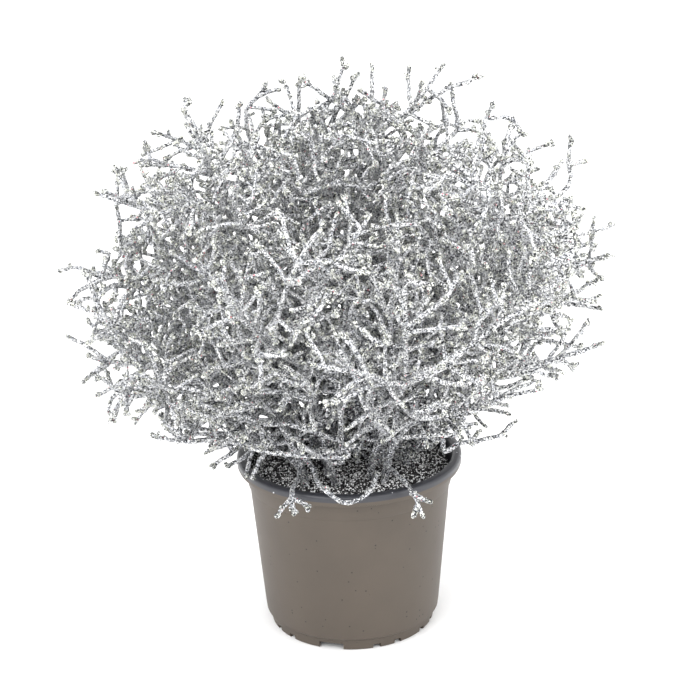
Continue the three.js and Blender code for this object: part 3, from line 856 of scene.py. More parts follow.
class Thicket:
    """All strands of the looks, and the fine growth that fills the room between them."""

    SEED = 11
    CELL = 6.0
    STEP = 2.3
    SHAKE = 0.12
    JOIN_REACH = 2.5
    FIRST_SPOT = 2.5
    LAST_SPOT = 0.5
    SPOT_SPREAD = (0.7, 1.3)
    HALFWAY_WEIGHT = 1.6
    UNDER_SKIRT = 4
    OUTER_FROM = 0.9
    OUTER_BELOW = POT_HEIGHT + 6
    OUTER_BUDS = (2, 5)
    INNER_BUDS = (1, 3)
    STUB_REACH = (1.9, 4.2)
    STUB_GIRTH = (0.88, 1.22)
    STUB_KNOTS = (0, 0.45, 0.8, 1)
    STUB_FOOT = 0.75
    STUB_ENDS = (1, 0.92, 0.35)
    STUB_STRAY = (0.35, 0.95)  # of the first lobe, and of the others
    SIDE_STUB_SHARE = 0.2
    SIDE_STUB_REACH = (2.0, 3.6)
    THICKNESS = {
        Level.STEM: (1.9, 1.15),
        Level.BRANCH: (1.25, 0.98),
        Level.TIP: (1.0, 0.88),
        Level.TRAILING: (1.2, 1.0),
    }

    def __init__(self, bush: Bush) -> None:
        """Takes over the twigs of the solids as smooth strands, and adds the outstanding ones.

        Args:
            bush: the grown bush.
        """
        self.random = np.random.default_rng(self.SEED)
        self.strands: list[Strand] = []
        self.cells: dict[tuple[int, int, int], list[np.ndarray]] = {}
        for twig in bush.twigs:
            self.keep(self.smooth(np.array(twig.points), self.THICKNESS[twig.level], twig.shoot))
        for route in OUTER_ROUTES:
            self.follow(spread_route(route))

    def smooth(self, knots: np.ndarray, ends: tuple[float, float], shoot: int) -> Strand:
        """Draws a smooth strand through some points.

        Args:
            knots: the points.
            ends: the half thickness at either end.
            shoot: the shoot's number.
        Returns:
            The strand.
        """
        guides = np.vstack([2 * knots[0] - knots[1], knots, 2 * knots[-1] - knots[-2]])
        line = []
        for i in range(1, len(guides) - 2):
            a, b, c, d = guides[i - 1 : i + 3]
            count = max(2, round(np.linalg.norm(c - b) / self.STEP))
            for t in np.arange(count) / count:
                bend = 2 * b + (c - a) * t + (2 * a - 5 * b + 4 * c - d) * t**2
                line.append(0.5 * (bend + (3 * b - a - 3 * c + d) * t**3))
        line.append(knots[-1])
        points = np.array(line)
        points[1:] += self.random.normal(0, self.SHAKE, points[1:].shape)
        return Strand(points, np.linspace(*ends, len(points)), shoot)

    def follow(self, route: tuple[Point, ...]) -> None:
        """Adds a twig along a route, from the wood that is nearest to its first point.

        Args:
            route: the points.
        """

        def gaps(strand: Strand) -> np.ndarray:
            """Returns how far a strand's points are from the route's first."""
            return np.linalg.norm(strand.points - np.array(route[0], float), axis=1)

        parent = min(self.strands, key=lambda strand: gaps(strand).min())
        foot = parent.points[gaps(parent).argmin()]
        joins = gaps(parent).min() < self.JOIN_REACH
        knots = np.array([foot, *(route[1:] if joins else route)])
        strand = self.smooth(knots, self.THICKNESS[Level.TRAILING], parent.shoot)
        strand.lobed = True
        self.keep(strand)

    def cell(self, point: np.ndarray) -> tuple[int, int, int]:
        """Returns the cell of room that a point lies in."""
        return tuple(int(c) for c in np.floor(point / self.CELL))

    def keep(self, strand: Strand) -> None:
        """Adds a strand and remembers where it runs.

        Args:
            strand: the strand.
        """
        self.strands.append(strand)
        for point in strand.points:
            self.cells.setdefault(self.cell(point), []).append(point)

    def room_at(self, point: np.ndarray) -> float:
        """Measures the free room round a point.

        Args:
            point: the point.
        Returns:
            The room, up to the size of a cell.
        """
        i, j, k = self.cell(point)
        nearby: list[np.ndarray] = []
        for di, dj, dk in product((-1, 0, 1), repeat=3):
            nearby += self.cells.get((i + di, j + dj, k + dk), [])
        if not nearby:
            return self.CELL
        gap = np.array(nearby) - point
        return min(self.CELL, float(np.sqrt(np.einsum("ij,ij->i", gap, gap).min())))

    def any_way(self) -> np.ndarray:
        """Returns a random unit direction."""
        return norm(self.random.normal(size=3))

    def sprig(self, parent: Strand, at: int, kind: FineKind) -> Strand | None:
        """Grows one fine twig from a point of a strand.

        Args:
            parent: the strand it grows from.
            at: the number of the point.
            kind: the kind of fine growth.
        Returns:
            The new strand, or None where there is no room.
        """
        start = parent.points[at]
        after, before = parent.points[min(at + 1, len(parent.points) - 1)], parent.points[max(at - 1, 0)]
        along = norm(after - before)
        outward = norm(start - np.array((0, 0, OUTWARD_FROM)))
        best, best_room = None, kind.room
        for _ in range(kind.tries):
            side = norm(np.cross(along, self.any_way()))
            lean = math.radians(self.random.uniform(*kind.lean))
            way = along * math.cos(lean) + side * math.sin(lean)
            way = norm(way + outward * kind.outward * self.random.random())
            reach = self.random.uniform(*kind.reach)
            line = [start]
            for _ in range(round(reach / kind.step)):
                way = norm(way + self.any_way() * kind.wander)
                line.append(line[-1] + way * kind.step)
            end = line[-1]
            if mass_share(tuple(end)) > kind.end_share or end[2] < mass_floor(tuple(end)):
                continue
            halfway = self.room_at(line[len(line) // 2 + 1])
            room = min(self.room_at(end), halfway * self.HALFWAY_WEIGHT)
            if room > best_room:
                best, best_room = line, room
        if best is None:
            return None
        return Strand(np.array(best), np.linspace(*kind.radii, len(best)), parent.shoot)

    def fill(self, kind: FineKind) -> int:
        """Grows fine twigs from all strands there are.

        Args:
            kind: the kind of fine growth.
        Returns:
            How many were grown.
        """
        before = len(self.strands)
        spots = []
        for number, strand in enumerate(self.strands):
            reach = np.linalg.norm(np.diff(strand.points, axis=0), axis=1).cumsum()
            walked = self.FIRST_SPOT + self.random.uniform(0, kind.spacing)
            while walked < reach[-1] - self.LAST_SPOT:
                spots.append((number, int(np.searchsorted(reach, walked)) + 1))
                walked += kind.spacing * self.random.uniform(*self.SPOT_SPREAD)
        for index in self.random.permutation(len(spots)):
            number, at = spots[index]
            parent = self.strands[number]
            if parent.points[at][2] < lowest_at(tuple(parent.points[at])) - self.UNDER_SKIRT:
                continue
            grown = self.sprig(parent, at, kind)
            if grown:
                self.keep(grown)
        return len(self.strands) - before

    def stub(self, strand: Strand, at: int, way: np.ndarray, reach: float) -> Strand:
        """Makes a short rounded lobe that grows from a point of a strand.

        Args:
            strand: the strand.
            at: the number of the point.
            way: the lobe's direction.
            reach: its length.
        Returns:
            The lobe.
        """
        start = strand.points[at]
        fat = self.random.uniform(*self.STUB_GIRTH)
        line = np.array([start + way * reach * share for share in self.STUB_KNOTS])
        radii = np.array((self.STUB_FOOT, *(fat * share for share in self.STUB_ENDS)))
        return Strand(line, radii, strand.shoot, True)

    def bud(self) -> int:
        """Grows a few stubby lobes at the end of every strand, and along the outer ones.

        Returns:
            How many were grown.
        """
        stubs = []
        for strand in self.strands:
            end = strand.points[-1]
            outer = strand.lobed or mass_share(tuple(end)) > self.OUTER_FROM or end[2] < self.OUTER_BELOW
            along = norm(end - strand.points[-2])
            for k in range(int(self.random.integers(*(self.OUTER_BUDS if outer else self.INNER_BUDS)))):
                way = norm(along + self.any_way() * self.STUB_STRAY[k > 0])
                at = len(strand.points) - 1 - (k > 1)
                stubs.append(self.stub(strand, at, way, self.random.uniform(*self.STUB_REACH)))
            for at in range(2, len(strand.points) - 2) if outer else ():
                if self.random.random() < self.SIDE_STUB_SHARE:
                    way = norm(self.any_way() + along * 0.5)
                    stubs.append(self.stub(strand, at, way, self.random.uniform(*self.SIDE_STUB_REACH)))
        self.strands += stubs
        return len(stubs)


class Graph:
    """A small helper that lays out a material's nodes."""

    def __init__(self, name: str) -> None:
        """Starts an empty material with one shader.

        Args:
            name: the material's name.
        """
        self.material = bpy.data.materials.new(name)
        self.material.use_nodes = True
        self.tree = self.material.node_tree
        self.shader = self.tree.nodes["Principled BSDF"]
        self.place = self.node("TexCoord").outputs["Object"]

    def put(self, socket: bpy.types.NodeSocket, value: object) -> None:
        """Gives a socket a value or another socket's output.

        Args:
            socket: the input.
            value: a socket, a number, a vector, or a colour without alpha.
        """
        if isinstance(value, bpy.types.NodeSocket):
            self.tree.links.new(value, socket)
        else:
            socket.default_value = (*value, 1) if socket.type == "RGBA" else value

    def node(self, kind: str, inputs: Inputs | None = None, **settings: object) -> bpy.types.Node:
        """Adds a node.

        Args:
            kind: the shader node's type, without its first word.
            inputs: values or sockets for its inputs.
            settings: its properties.
        Returns:
            The node.
        """
        made = self.tree.nodes.new("ShaderNode" + kind)
        for name, value in settings.items():
            setattr(made, name, value)
        for key, value in (inputs or {}).items():
            self.put(made.inputs[key], value)
        return made

    def math(self, operation: str, *values: object, clamp: bool = False) -> bpy.types.NodeSocket:
        """Returns the result of a sum on numbers or sockets."""
        return self.node("Math", dict(enumerate(values)), operation=operation, use_clamp=clamp).outputs[0]

    def vector(self, operation: str, inputs: Inputs, out: str = "Vector") -> bpy.types.NodeSocket:
        """Returns the result of a sum on vectors."""
        return self.node("VectorMath", inputs, operation=operation).outputs[out]

    def noise(self, scale: float, detail: float = 3.0, roughness: float = 0.55) -> bpy.types.NodeSocket:
        """Returns soft noise, with its scale per metre."""
        inputs = {"Vector": self.place, "Scale": scale, "Detail": detail, "Roughness": roughness}
        return self.node("TexNoise", inputs).outputs["Fac"]

    def cells(self, scale: float) -> tuple[bpy.types.Node, bpy.types.Node]:
        """Lays out a pattern of cells.

        Args:
            scale: the cells per metre.
        Returns:
            The pattern, and the node that parts each cell's random colour in three.
        """
        made = self.node("TexVoronoi", {"Vector": self.place, "Scale": scale})
        return made, self.node("SeparateColor", {0: made.outputs["Color"]})

    def dots(self, scale: float, test: str, limit: float, size: float) -> bpy.types.NodeSocket:
        """Lays out round dots in some of the cells.

        Args:
            scale: the cells per metre.
            test: how a cell's random value is held against the limit.
            limit: the limit.
            size: the dots' half width, as a share of a cell.
        Returns:
            A socket that is 1 in the dots.
        """
        pattern, parts = self.cells(scale)
        chosen = self.math(test, parts.outputs[0], limit)
        return self.math("MULTIPLY", chosen, self.math("LESS_THAN", pattern.outputs["Distance"], size))

    def ramp(self, value: bpy.types.NodeSocket, *stops: tuple[float, Colour],
             steps: bool = False) -> bpy.types.NodeSocket:
        """Lays out colours along a value.

        Args:
            value: what drives the colours.
            stops: the place and the colour of each stop.
            steps: True for hard steps.
        Returns:
            The colour socket.
        """
        made = self.node("ValToRGB", {0: value})
        made.color_ramp.interpolation = "CONSTANT" if steps else "LINEAR"
        elements = made.color_ramp.elements
        while len(elements) < len(stops):
            elements.new(0.5)
        for element, (place, colour) in zip(elements, stops):
            element.position = place
            element.color = (*colour, 1)
        return made.outputs[0]

    def mix(self, share: object, a: object, b: object, blend: str = "MIX") -> bpy.types.NodeSocket:
        """Mixes two colours.

        Args:
            share: how much there is of the second.
            a: the first.
            b: the second.
            blend: the blend mode.
        Returns:
            The colour socket.
        """
        made = self.node("Mix", data_type="RGBA", blend_type=blend)
        for socket, value in zip([s for s in made.inputs if s.enabled], (share, a, b)):
            self.put(socket, value)
        return next(s for s in made.outputs if s.enabled)

    def bump(self, height: bpy.types.NodeSocket, depth: float, strength: float = 1.0) -> None:
        """Adds bump of a depth in metres to the shader."""
        made = self.node("Bump", {"Strength": strength, "Distance": depth, "Height": height})
        self.put(self.shader.inputs["Normal"], made.outputs[0])

    def finish(self, colour: object, roughness: float, metallic: float = 0.0) -> bpy.types.Material:
        """Gives the shader its main values.

        Args:
            colour: a colour or a socket.
            roughness: how dull it is.
            metallic: how much it shines like metal.
        Returns:
            The material.
        """
        for name, value in (("Base Color", colour), ("Roughness", roughness), ("Metallic", metallic)):
            self.put(self.shader.inputs[name], value)
        return self.material


@dataclass(frozen=True)
class GlitterFinish:
    """A coat of coarse silver flakes, each with its own tilt and a painted tone from near black to white:
    painted glints and painted dark reflections of silver flakes.
    """

    name: str
    tint: Colour = (0.9, 0.93, 0.8)
    tint_share: float = 0.16
    flakes_per_metre: float = 2000.0
    # painted shade: the flakes darken towards this point in the low middle of the bush
    painted_shade_centre: Point = (0, -0.005, 0.085)
    painted_shade_inside: tuple[float, float, float, float] = (0.03, 0.1, 0.16, 0.0)  # two distances, two shares
    # painted glints and painted dark reflections: the flakes' tones, from near black to white
    steps: tuple[tuple[float, Colour], ...] = (
        (0.0, (0.018, 0.019, 0.023)),
        (0.15, (0.12, 0.125, 0.14)),
        (0.3, (0.36, 0.37, 0.4)),
        (0.47, (0.7, 0.71, 0.75)),
        (0.65, WHITE),
    )
    patches_per_metre: float = 70
    patch_span: tuple[float, float] = (0.3, 0.68)
    patch: Colour = (0.84, 0.84, 0.86)
    pink: Colour = (1.0, 0.35, 0.42)
    pink_from: float = 0.994
    tilt: float = 1.5
    roughness: float = 0.38
    metallic: float = 0.35

    def make(self) -> bpy.types.Material:
        """Lays out the material: the flakes' painted glints and painted dark reflections first, then their
        colours and tilt.

        Returns:
            The material.
        """
        graph = Graph(self.name)
        flakes, parts = graph.cells(self.flakes_per_metre)
        # Painted shade: within the first distance of the bush's low middle the flakes are darkened by the
        # first share, fading to none at the second distance.
        inward = graph.vector("DISTANCE", {0: graph.place, 1: self.painted_shade_centre}, "Value")
        limits = dict(zip(("From Min", "From Max", "To Min", "To Max"), self.painted_shade_inside))
        painted_shade = graph.node("MapRange", {"Value": inward, **limits})
        glint_and_shade = graph.math("SUBTRACT", parts.outputs[0], painted_shade.outputs[0], clamp=True)
        # Painted glints and painted dark reflections: each flake takes a tone from near black to white by
        # its random value.
        colour = graph.ramp(glint_and_shade, *self.steps, steps=True)
        patches = graph.noise(self.patches_per_metre, 2.0)
        for cover in (
            graph.ramp(patches, (self.patch_span[0], self.patch), (self.patch_span[1], WHITE)),
            graph.ramp(parts.outputs[2], (0.0, WHITE), (self.pink_from, self.pink), steps=True),
        ):
            colour = graph.mix(1.0, colour, cover, blend="MULTIPLY")
        tinted = graph.mix(1.0, colour, self.tint, blend="MULTIPLY")
        share = graph.math("MULTIPLY", parts.outputs[1], self.tint_share * 2)
        colour = graph.mix(share, colour, tinted)
        slant = graph.vector("SUBTRACT", {0: flakes.outputs["Color"], 1: (0.5, 0.5, 0.5)})
        slant = graph.vector("SCALE", {0: slant, "Scale": self.tilt})
        facing = graph.vector("ADD", {0: graph.node("NewGeometry").outputs["Normal"], 1: slant})
        graph.put(graph.shader.inputs["Normal"], graph.vector("NORMALIZE", {0: facing}))
        return graph.finish(colour, self.roughness, self.metallic)


@dataclass(frozen=True)
class PlasticFinish:
    """Moulded plastic with a faint grain, soft clouds and a few specks of dirt."""

    name: str
    colour: Colour
    speck: Colour
    roughness: float
    speck_share: float
    specks_per_metre: float = 640.0
    speck_size: float = 0.24
    cloud: float = 0.86
    cloud_span: tuple[float, float] = (0.35, 0.65)
    clouds_per_metre: float = 26
    grain_per_metre: float = 900
    grain_depth: float = 0.00006

    def make(self) -> bpy.types.Material:
        """Lays out the material.

        Returns:
            The material.
        """
        graph = Graph(self.name)
        dark = tuple(c * self.cloud for c in self.colour)
        start, end = self.cloud_span
        clouds = graph.ramp(graph.noise(self.clouds_per_metre, 4.0), (start, dark), (end, self.colour))
        specks = graph.dots(self.specks_per_metre, "LESS_THAN", self.speck_share, self.speck_size)
        graph.bump(graph.noise(self.grain_per_metre), self.grain_depth, 0.5)
        return graph.finish(graph.mix(specks, clouds, self.speck), self.roughness)


@dataclass(frozen=True)
class CompostFinish:
    """Near-black crumbled compost with white flecks of glitter on it."""

    name: str = "compost"
    dark: Colour = (0.004, 0.004, 0.005)
    light: Colour = (0.035, 0.032, 0.032)
    fleck: Colour = WHITE
    flecks_per_metre: float = 1150
    bare_share: float = 0.4
    fleck_size: float = 0.5
    clods_per_metre: float = 260
    clod_span: tuple[float, float] = (0.3, 0.7)
    grain_per_metre: float = 700
    grain_depth: float = 0.0006
    roughness: float = 0.8

    def make(self) -> bpy.types.Material:
        """Lays out the material.

        Returns:
            The material.
        """
        graph = Graph(self.name)
        clods = graph.noise(self.clods_per_metre, 6.0, 0.7)
        earth = graph.ramp(clods, (self.clod_span[0], self.dark), (self.clod_span[1], self.light))
        flecks = graph.dots(self.flecks_per_metre, "GREATER_THAN", self.bare_share, self.fleck_size)
        graph.bump(graph.noise(self.grain_per_metre, 5.0), self.grain_depth, 0.8)
        return graph.finish(graph.mix(flecks, earth, self.fleck), self.roughness)


@dataclass(frozen=True)
class FloorFinish:
    """Plain matt white."""

    name: str = "studio_white"
    colour: Colour = (0.93, 0.93, 0.93)
    roughness: float = 0.9

    def make(self) -> bpy.types.Material:
        """Returns the material."""
        return Graph(self.name).finish(self.colour, self.roughness)


class Bench:
    """The modelling moves that every piece shares."""

    @staticmethod
    def clear() -> None:
        """Deselects everything."""
        if bpy.context.object and bpy.context.object.mode != "OBJECT":
            bpy.ops.object.mode_set(mode="OBJECT")
        bpy.ops.object.select_all(action="DESELECT")

    @staticmethod
    def pick(*pieces: bpy.types.Object) -> None:
        """Selects just these pieces and makes the first one active.

        Args:
            pieces: the pieces.
        """
        Bench.clear()
        for piece in pieces:
            piece.select_set(True)
        bpy.context.view_layer.objects.active = pieces[0]

    @staticmethod
    def settle(piece: bpy.types.Object) -> None:
        """Puts the piece's place, turn and size into its mesh."""
        Bench.pick(piece)
        bpy.ops.object.transform_apply(location=True, rotation=True, scale=True)

    @staticmethod
    def apply(piece: bpy.types.Object, kind: str, **settings: object) -> None:
        """Adds a modifier and applies it.

        Args:
            piece: the piece.
            kind: the modifier's type.
            settings: its settings.
        """
        Bench.pick(piece)
        modifier = piece.modifiers.new(kind.lower(), kind)
        for name, value in settings.items():
            setattr(modifier, name, value)
        bpy.ops.object.modifier_apply(modifier=modifier.name)

    @staticmethod
    def roughen(piece: bpy.types.Object, size: float, depth: float, detail: int = 2,
                **settings: object) -> None:
        """Roughens a piece with soft noise.

        Args:
            piece: the piece.
            size: the lumps' size in metres.
            depth: their depth in metres.
            detail: how many finer layers the noise has.
            settings: more settings of the modifier.
        """
        texture = bpy.data.textures.new("lumps", "CLOUDS")
        texture.noise_scale = size
        texture.noise_depth = detail
        Bench.apply(piece, "DISPLACE", texture=texture, texture_coords="LOCAL", strength=depth,
                    mid_level=0.5, **settings)

    @staticmethod
    def trace(name: str, outline: list[tuple[float, float]], sides: int) -> bpy.types.Object:
        """Models a round piece by extruding a disc's face along an outline.

        Args:
            name: the piece's name.
            outline: radius and height of each step, in millimetres, from the lower face to the upper.
            sides: corners round the piece.
        Returns:
            The piece.
        """
        Bench.clear()
        radius, height = outline[0]
        bpy.ops.mesh.primitive_circle_add(
            vertices=sides, radius=radius * MM, fill_type="NGON", location=(0, 0, height * MM)
        )
        piece = bpy.context.object
        piece.name = piece.data.name = name
        Bench.settle(piece)
        bpy.ops.object.mode_set(mode="EDIT")
        bpy.ops.mesh.select_all(action="SELECT")
        for next_radius, next_height in outline[1:]:
            rise = (next_height - height) * MM
            share = next_radius / radius
            bpy.ops.mesh.extrude_region_move(TRANSFORM_OT_translate={"value": (0, 0, rise)})
            bpy.ops.transform.resize(value=(share, share, 1), center_override=(0, 0, next_height * MM))
            radius, height = next_radius, next_height
        bpy.ops.mesh.select_all(action="SELECT")
        bpy.ops.mesh.normals_make_consistent(inside=False)
        bpy.ops.object.mode_set(mode="OBJECT")
        return piece

    @staticmethod
    def join(pieces: list[bpy.types.Object], name: str) -> bpy.types.Object:
        """Joins pieces into one.

        Args:
            pieces: the pieces, the first of which takes in the others.
            name: the new name.
        Returns:
            The joined piece.
        """
        Bench.pick(*pieces)
        bpy.ops.object.join()
        joined = bpy.context.object
        joined.name = joined.data.name = name
        return joined


@dataclass
class Pot:
    """The nursery pot: a thin tapered wall with a rolled lip and a notched foot ring."""

    sides: int = 144
    lip_arc: int = 7
    lip_outside: float = 1.5
    lip_inside: tuple[float, float] = (1.3, 1.4)
    lip_width: float = 0.9
    wide_notch: tuple[float, float] = (11.5, 3.4)  # width and height
    narrow_notch: tuple[float, float] = (3.6, 2.2)
    narrow_turns: tuple[int, ...] = (32, 48, 72, 88)
    first_notch: float = -15.5
    notch_depth: float = 12
    drains: int = 6
    drain_radius: float = 3.0
    drain_circle: float = 24.0
    drain_depth: float = 6
    drain_sides: int = 24
    lip_foot: float = 2.2
    smooth_under: float = 38
    taupe: PlasticFinish = field(default_factory=lambda: PlasticFinish(
        "taupe_plastic", (0.079, 0.062, 0.047), (0.016, 0.013, 0.01), 0.5, 0.045))
    dark: PlasticFinish = field(default_factory=lambda: PlasticFinish(
        "dark_plastic", (0.038, 0.039, 0.047), (0.7, 0.72, 0.75), 0.34, 0.05))

    def outline(self) -> list[tuple[float, float]]:
        """Lists the steps of the pot's outline, from the recess below to the floor inside.

        Returns:
            The radius and the height of each.
        """
        skirt = POT_HEIGHT - RIM_DROP
        band = BAND_RADIUS
        inner = NECK_RADIUS - WALL + self.lip_width
        steps = [
            (FOOT_RADIUS - WALL - 1.4, FLOOR_TOP - WALL),
            (FOOT_RADIUS - WALL - 0.6, 0.6),
            (FOOT_RADIUS - WALL - 0.3, 0.0),
            (FOOT_RADIUS - 0.5, 0.0),
            (FOOT_RADIUS, 0.5),
            (FOOT_RADIUS + 0.6, FOOT_HEIGHT),
            (FOOT_RADIUS + 1.3, FOOT_HEIGHT + 0.25),
            (WAIST_RADIUS, FOOT_HEIGHT + 1.1),
            (WAIST_RADIUS + 0.25, FOOT_HEIGHT + 3.0),
            (band, BAND_HEIGHT),
            (band + 0.45, BAND_HEIGHT + 0.15),
            (band + 0.7, BAND_HEIGHT + 0.6),
            (NECK_RADIUS, skirt - 0.4),
            (NECK_RADIUS + 0.6, skirt),
            (RIM_RADIUS - 1.3, skirt - 0.2),
            (RIM_RADIUS - 0.5, skirt + 0.2),
            (RIM_RADIUS - 0.1, skirt + 1.2),
            (RIM_RADIUS - 0.05, skirt + self.lip_foot),
        ]
        out = self.lip_outside
        wide, high = self.lip_inside
        turns = [math.pi / 2 * k / self.lip_arc for k in range(self.lip_arc + 1)]
        for turn in turns:
            steps.append((RIM_RADIUS - out + out * math.cos(turn), POT_HEIGHT - out + out * math.sin(turn)))
        for turn in turns[1:]:
            steps.append((inner + wide - wide * math.sin(turn), POT_HEIGHT - high + high * math.cos(turn)))
        steps += [
            (NECK_RADIUS - WALL + 0.3, skirt + 1.2),
            (NECK_RADIUS - WALL, skirt - 0.5),
            (band - WALL, BAND_HEIGHT),
            (WAIST_RADIUS - WALL, FLOOR_TOP + 1),
            (WAIST_RADIUS - WALL - 1.4, FLOOR_TOP),
        ]
        return steps

    def cutter(self) -> bpy.types.Object:
        """Models what is cut out of the pot.

        Returns:
            The notches and drain holes as one piece.
        """
        tools = []
        for third in range(3):
            turn = self.first_notch + third * 120
            notches = [(turn, *self.wide_notch)]
            notches += [(turn + offset, *self.narrow_notch) for offset in self.narrow_turns]
            for degrees, width, height in notches:
                angle = math.radians(degrees)
                bpy.ops.mesh.primitive_cube_add(
                    size=1,
                    location=(FOOT_RADIUS * math.sin(angle) * MM, -FOOT_RADIUS * math.cos(angle) * MM, 0),
                    rotation=(0, 0, angle),
                    scale=(width * MM, self.notch_depth * MM, 2 * height * MM),
                )
                tools.append(bpy.context.object)
        for k in range(self.drains):
            angle = k * math.pi / (self.drains / 2)
            out = self.drain_circle * MM
            bpy.ops.mesh.primitive_cylinder_add(
                vertices=self.drain_sides,
                radius=self.drain_radius * MM,
                depth=self.drain_depth * MM,
                location=(out * math.cos(angle), out * math.sin(angle), FLOOR_TOP * MM),
            )
            tools.append(bpy.context.object)
        cutter = Bench.join(tools, "pot_cutter")
        Bench.settle(cutter)
        return cutter

    def build(self) -> bpy.types.Object:
        """Builds and dresses the pot.

        Returns:
            The piece.
        """
        piece = Bench.trace("nursery_pot", self.outline(), self.sides)
        cutter = self.cutter()
        Bench.apply(piece, "BOOLEAN", object=cutter, operation="DIFFERENCE", solver="EXACT")
        bpy.data.objects.remove(cutter)
        piece.data.materials.append(self.taupe.make())
        piece.data.materials.append(self.dark.make())
        for face in piece.data.polygons:
            inward = face.normal.x * face.center.x + face.normal.y * face.center.y
            lip = face.center.z > (POT_HEIGHT - RIM_DROP + self.lip_foot) * MM
            inside = inward < 0 and face.center.z > FLOOR_TOP * MM
            face.material_index = 1 if lip or inside else 0
        Bench.pick(piece)
        bpy.ops.object.shade_smooth_by_angle(angle=math.radians(self.smooth_under))
        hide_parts("pot")
        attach(piece, "root")
        return piece


@dataclass
class Soil:
    """The plug of compost, with a crumbled top and loose crumbs on it."""

    sides: int = 96
    ring_gap: float = 1.5
    fit_gap: float = 0.3
    ripple: float = 0.9
    crumb_size: float = 0.0032
    crumb_depth: float = 0.0028
    ridges: tuple[float, float, float] = (0.61, 1.3, 0.37)
    furrows: tuple[float, float, float] = (0.57, 0.9, 0.43)
    shoulder: float = 0.8
    foot_chamfer: tuple[float, float] = (1.7, 2.3)  # inwards and upwards
    crumbs: int = 520
    crumb_seed: int = 5
    crumb_sizes: tuple[float, float] = (0.5, 1.5)
    crumb_stretch: tuple[float, float] = (0.7, 1.2)
    crumb_rag: float = 0.14
    full_turn: float = 6.3
    finish: CompostFinish = CompostFinish()

    def height(self, x: float, y: float) -> float:
        """Works out the surface's height, by the formula of the solid.

        Args:
            x: the place from left to right, in millimetres.
            y: the place from front to back.
        Returns:
            The height in millimetres.
        """
        edge = math.hypot(x, y) / (NECK_RADIUS - WALL)
        (rate, sway, bend), (rate_2, sway_2, bend_2) = self.ridges, self.furrows
        across = math.sin(x * rate + sway * math.sin(y * bend))
        ripple = across * math.sin(y * rate_2 + sway_2 * math.sin(x * bend_2))
        return SOIL_TOP + SOIL_MOUND * (1 - edge * edge) + self.ripple * ripple

    def build(self) -> bpy.types.Object:
        """Builds and dresses the soil.

        Returns:
            The piece.
        """
        band = BAND_RADIUS - WALL - self.fit_gap
        top = band + self.shoulder
        outline = [
            (WAIST_RADIUS - WALL - self.foot_chamfer[0], FLOOR_TOP + self.fit_gap),
            (WAIST_RADIUS - WALL - self.fit_gap, FLOOR_TOP + self.foot_chamfer[1]),
            (band, BAND_HEIGHT),
            (top, SOIL_TOP),
        ]
        radius = top - self.ring_gap
        while radius > self.ring_gap:
            outline.append((radius, SOIL_TOP))
            radius -= self.ring_gap
        plug = Bench.trace("compost_plug", outline, self.sides)
        for vertex in plug.data.vertices:
            if vertex.co.z > (SOIL_TOP - 0.01) * MM:
                vertex.co.z = self.height(vertex.co.x / MM, vertex.co.y / MM) * MM
        plug.vertex_groups.new(name="top").add(
            [v.index for v in plug.data.vertices if v.co.z > (SOIL_TOP - 2) * MM], 1.0, "REPLACE")
        Bench.roughen(plug, self.crumb_size, self.crumb_depth, 3, vertex_group="top", direction="Z")
        piece = Bench.join([plug, self.scatter(top - self.ring_gap)], "compost")
        piece.data.materials.append(self.finish.make())
        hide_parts("soil")
        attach(piece, "root")
        return piece

    def scatter(self, reach: float) -> bpy.types.Object:
        """Strews loose crumbs on the surface, all from one lump that is modelled once.

        Args:
            reach: the radius that they keep within, in millimetres.
        Returns:
            The crumbs as one piece.
        """
        Bench.clear()
        bpy.ops.mesh.primitive_ico_sphere_add(subdivisions=1, radius=1.0)
        lump = bpy.context.object
        corners = np.array([v.co for v in lump.data.vertices])
        faces = np.array([f.vertices[:] for f in lump.data.polygons])
        random = np.random.default_rng(self.crumb_seed)
        places, polygons = [], []
        for k in range(self.crumbs):
            out = reach * math.sqrt(random.random())
            turn = random.uniform(0, 2 * math.pi)
            x, y = out * math.cos(turn), out * math.sin(turn)
            sizes = random.uniform(*self.crumb_sizes) * random.uniform(*self.crumb_stretch, 3)
            ragged = corners * sizes + random.normal(0, self.crumb_rag, corners.shape)
            turn = Matrix.Rotation(random.uniform(0, self.full_turn), 3, random.normal(size=3))
            places.append((ragged @ np.array(turn) + (x, y, self.height(x, y) + self.fit_gap)) * MM)
            polygons.append(faces + k * len(corners))
        mesh = bpy.data.meshes.new("crumbs")
        mesh.from_pydata(np.vstack(places).tolist(), [], np.vstack(polygons).tolist())
        lump.data = mesh
        return lump


